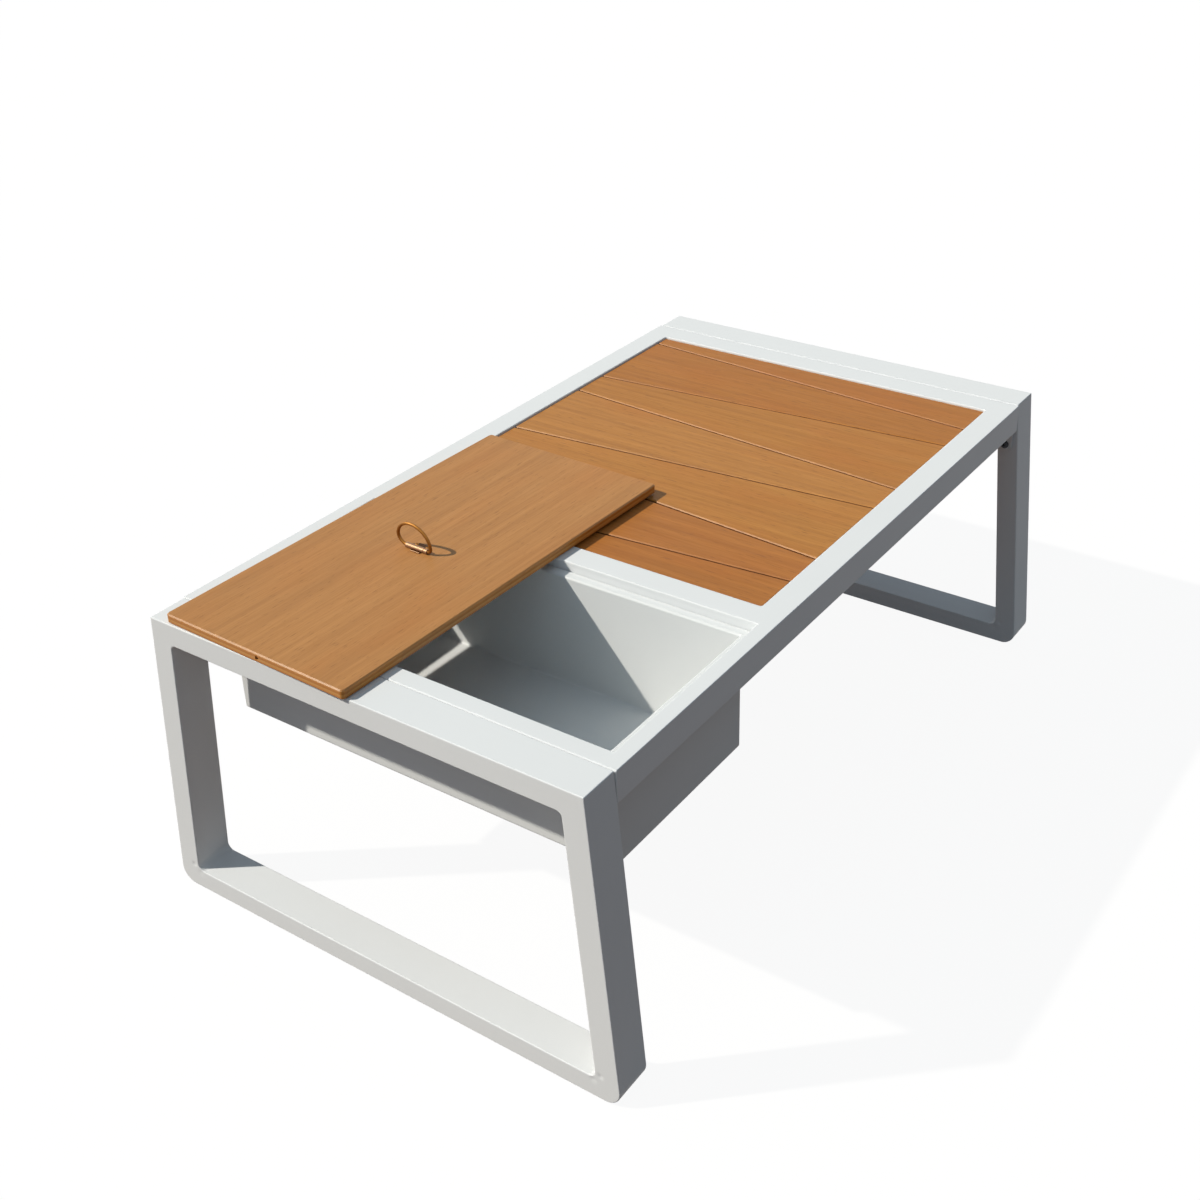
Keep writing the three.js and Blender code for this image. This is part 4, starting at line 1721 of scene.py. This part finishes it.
    def build(self) -> None:
        """Places the leaf, the ring and the screws."""
        copper = CopperPlatedSteel().material()
        brass = AgedBrassWire().material()
        aside = Matrix.Translation((0.0, self.aside, 0.0))
        place(self.leaf_mesh(), copper, Body.LID, ["pull_leaf"], self.where() @ aside)
        lean = Matrix.Rotation(math.radians(self.lean_deg), 4, "Y")
        place(self.ring_mesh(), brass, Body.RING, ["pull_ring"], self.where() @ lean)
        for number in (1, 2):
            screw = self.screw_mesh(f"pull_screw_{number}")
            screw.name = f"pull_screw_head_{number}"
            place(screw, brass, Body.LID, [f"pull_screw_{number}"])


# Camera and studio


@dataclass
class PhotoCamera:
    """The camera at the photograph's place, fitted to the table's straight edges."""

    place_m: tuple[float, float, float] = (-1.489629, -1.014390, 1.319300)
    azimuth_deg: float = -54.970852
    elevation_deg: float = 28.237349
    roll_deg: float = -1.429577
    focal_px: float = 1579.688583
    axis_px: tuple[float, float] = (626.151753, 521.668569)
    photo_px: float = 1200
    sensor_mm: float = 36

    def build(self) -> None:
        """Makes the camera and sets it as the scene's."""
        azimuth, elevation = math.radians(self.azimuth_deg), math.radians(self.elevation_deg)
        back = Vector((
            math.sin(azimuth) * math.cos(elevation),
            -math.cos(azimuth) * math.cos(elevation),
            math.sin(elevation),
        ))
        right = back.cross(Vector((0, 0, 1))).normalized() * -1
        level = Matrix((right, back.cross(right), back)).transposed()
        turn = level @ Matrix.Rotation(math.radians(self.roll_deg), 3, "Z")
        camera = add_object("photo_camera", bpy.data.cameras.new("photo_camera"))
        camera.matrix_world = Matrix.Translation(self.place_m) @ turn.to_4x4()
        camera.data.sensor_width = self.sensor_mm
        camera.data.lens = self.focal_px / self.photo_px * self.sensor_mm
        camera.data.shift_x = (self.photo_px / 2 - self.axis_px[0]) / self.photo_px
        camera.data.shift_y = (self.axis_px[1] - self.photo_px / 2) / self.photo_px
        bpy.context.scene.camera = camera


@dataclass
class Studio:
    """A plain pale floor under a plain sky, with one low sun behind the table's far left."""

    sun_travel: tuple[float, float, float] = (1.0, -1.21, -1.39)
    sun_strength: float = 3.82
    sun_width_deg: float = 1.2
    sun_colour: str = "#FFF8EC"
    # A clear sky, brightest high up on the sun's side and dim towards the horizon.
    sky_side: tuple[float, float, float] = (-0.4, 0.1, 0.9)
    low_sky: float = 0.147
    high_sky: float = 0.446
    sky_colour: str = "#D6EDFF"
    floor_half: float = 6.0
    # The floor lights the table from below as dark warm ground does, and the camera sees it white.
    ground_colour: str = "#563D2C"
    ground_roughness: float = 0.9
    # How much of its own light the floor shows the camera, which is what keeps its shadow light.
    shadow_share: float = 0.07

    def light(self) -> None:
        """Makes the sun and the sky."""
        lamp = bpy.data.lights.new("sun", "SUN")
        lamp.energy = self.sun_strength
        lamp.angle = math.radians(self.sun_width_deg)
        lamp.color = linear(self.sun_colour)[:3]
        sun = add_object("sun", lamp)
        sun.rotation_mode = "QUATERNION"
        sun.rotation_quaternion = Vector(self.sun_travel).to_track_quat("-Z", "Y")
        world = bpy.data.worlds.new("sky")
        world.use_nodes = True
        tree = world.node_tree
        direction = add_node(tree, "ShaderNodeTexCoord").outputs["Generated"]
        height = add_node(
            tree, "ShaderNodeVectorMath", {0: direction, 1: self.sky_side}, operation="DOT_PRODUCT"
        )
        strength = add_node(
            tree,
            "ShaderNodeMapRange",
            {"Value": height.outputs["Value"], "To Min": self.low_sky, "To Max": self.high_sky},
        )
        sky = tree.nodes["Background"]
        sky.inputs["Color"].default_value = linear(self.sky_colour)
        tree.links.new(strength.outputs["Result"], sky.inputs["Strength"])
        seen = add_node(tree, "ShaderNodeBackground", {"Color": linear(WHITE), "Strength": 1.0})
        either = add_node(
            tree,
            "ShaderNodeMixShader",
            {0: self.seen_share(tree), 1: sky.outputs["Background"], 2: seen.outputs["Background"]},
        )
        tree.links.new(either.outputs["Shader"], tree.nodes["World Output"].inputs["Surface"])
        bpy.context.scene.world = world

    def seen_share(self, tree: bpy.types.NodeTree) -> bpy.types.NodeSocket:
        """Tells the rays that show the background from those that light the table.

        Args:
            tree: The tree that asks.

        Returns:
            An output that is one for the camera's rays and for those that gloss or glass sends on.
        """
        path = add_node(tree, "ShaderNodeLightPath")
        either = add_node(
            tree,
            "ShaderNodeMath",
            {0: path.outputs["Is Camera Ray"], 1: path.outputs["Is Glossy Ray"]},
            operation="MAXIMUM",
        )
        every = add_node(
            tree,
            "ShaderNodeMath",
            {0: either.outputs["Value"], 1: path.outputs["Is Transmission Ray"]},
            operation="MAXIMUM",
        )
        return every.outputs["Value"]

    def lay_floor(self) -> None:
        """Lays the floor, which shows white with a light shadow."""
        corners = rectangle((-self.floor_half, -self.floor_half), (self.floor_half, self.floor_half))
        mesh = bpy.data.meshes.new("floor")
        mesh.from_pydata([(x, y, 0.0) for x, y in corners], [], [(0, 1, 2, 3)])
        material = bpy.data.materials.new("pale_floor")
        material.use_nodes = True
        tree = material.node_tree
        matt = tree.nodes["Principled BSDF"]
        matt.inputs["Roughness"].default_value = self.ground_roughness
        seen = self.seen_share(tree)
        colour = add_node(
            tree,
            "ShaderNodeMix",
            {FACTOR: seen, COLOUR_A: linear(self.ground_colour), COLOUR_B: linear(WHITE)},
            data_type="RGBA",
        )
        tree.links.new(colour.outputs[COLOUR_OUT], matt.inputs["Base Color"])
        white = add_node(tree, "ShaderNodeEmission", {"Color": linear(WHITE), "Strength": 1.0})
        share = add_node(tree, "ShaderNodeMath", {0: seen, 1: 1 - self.shadow_share}, operation="MULTIPLY")
        mixed = add_node(
            tree,
            "ShaderNodeMixShader",
            {0: share.outputs["Value"], 1: matt.outputs["BSDF"], 2: white.outputs["Emission"]},
        )
        tree.links.new(mixed.outputs["Shader"], tree.nodes["Material Output"].inputs["Surface"])
        mesh.materials.append(material)
        floor = add_object("floor", mesh)

    def build(self) -> None:
        """Lights the scene and lays the floor."""
        self.light()
        self.lay_floor()
        bpy.context.scene.view_settings.view_transform = "Standard"


def main() -> None:
    """Builds the camera, the studio and the table's sub-assemblies, in order."""
    logging.basicConfig(level=logging.INFO, format="%(message)s")
    sub_assemblies = (
        PhotoCamera(),
        Studio(),
        LegFrame(End.BUCKET),
        LegFrame(End.SLAT),
        TopFrame(),
        SlattedTop(),
        Bucket(),
        Lid(),
        RingPull(),
    )
    for sub_assembly in sub_assemblies:
        log.info("%s", type(sub_assembly).__name__)
        sub_assembly.build()


if __name__ == "__main__":
    main()
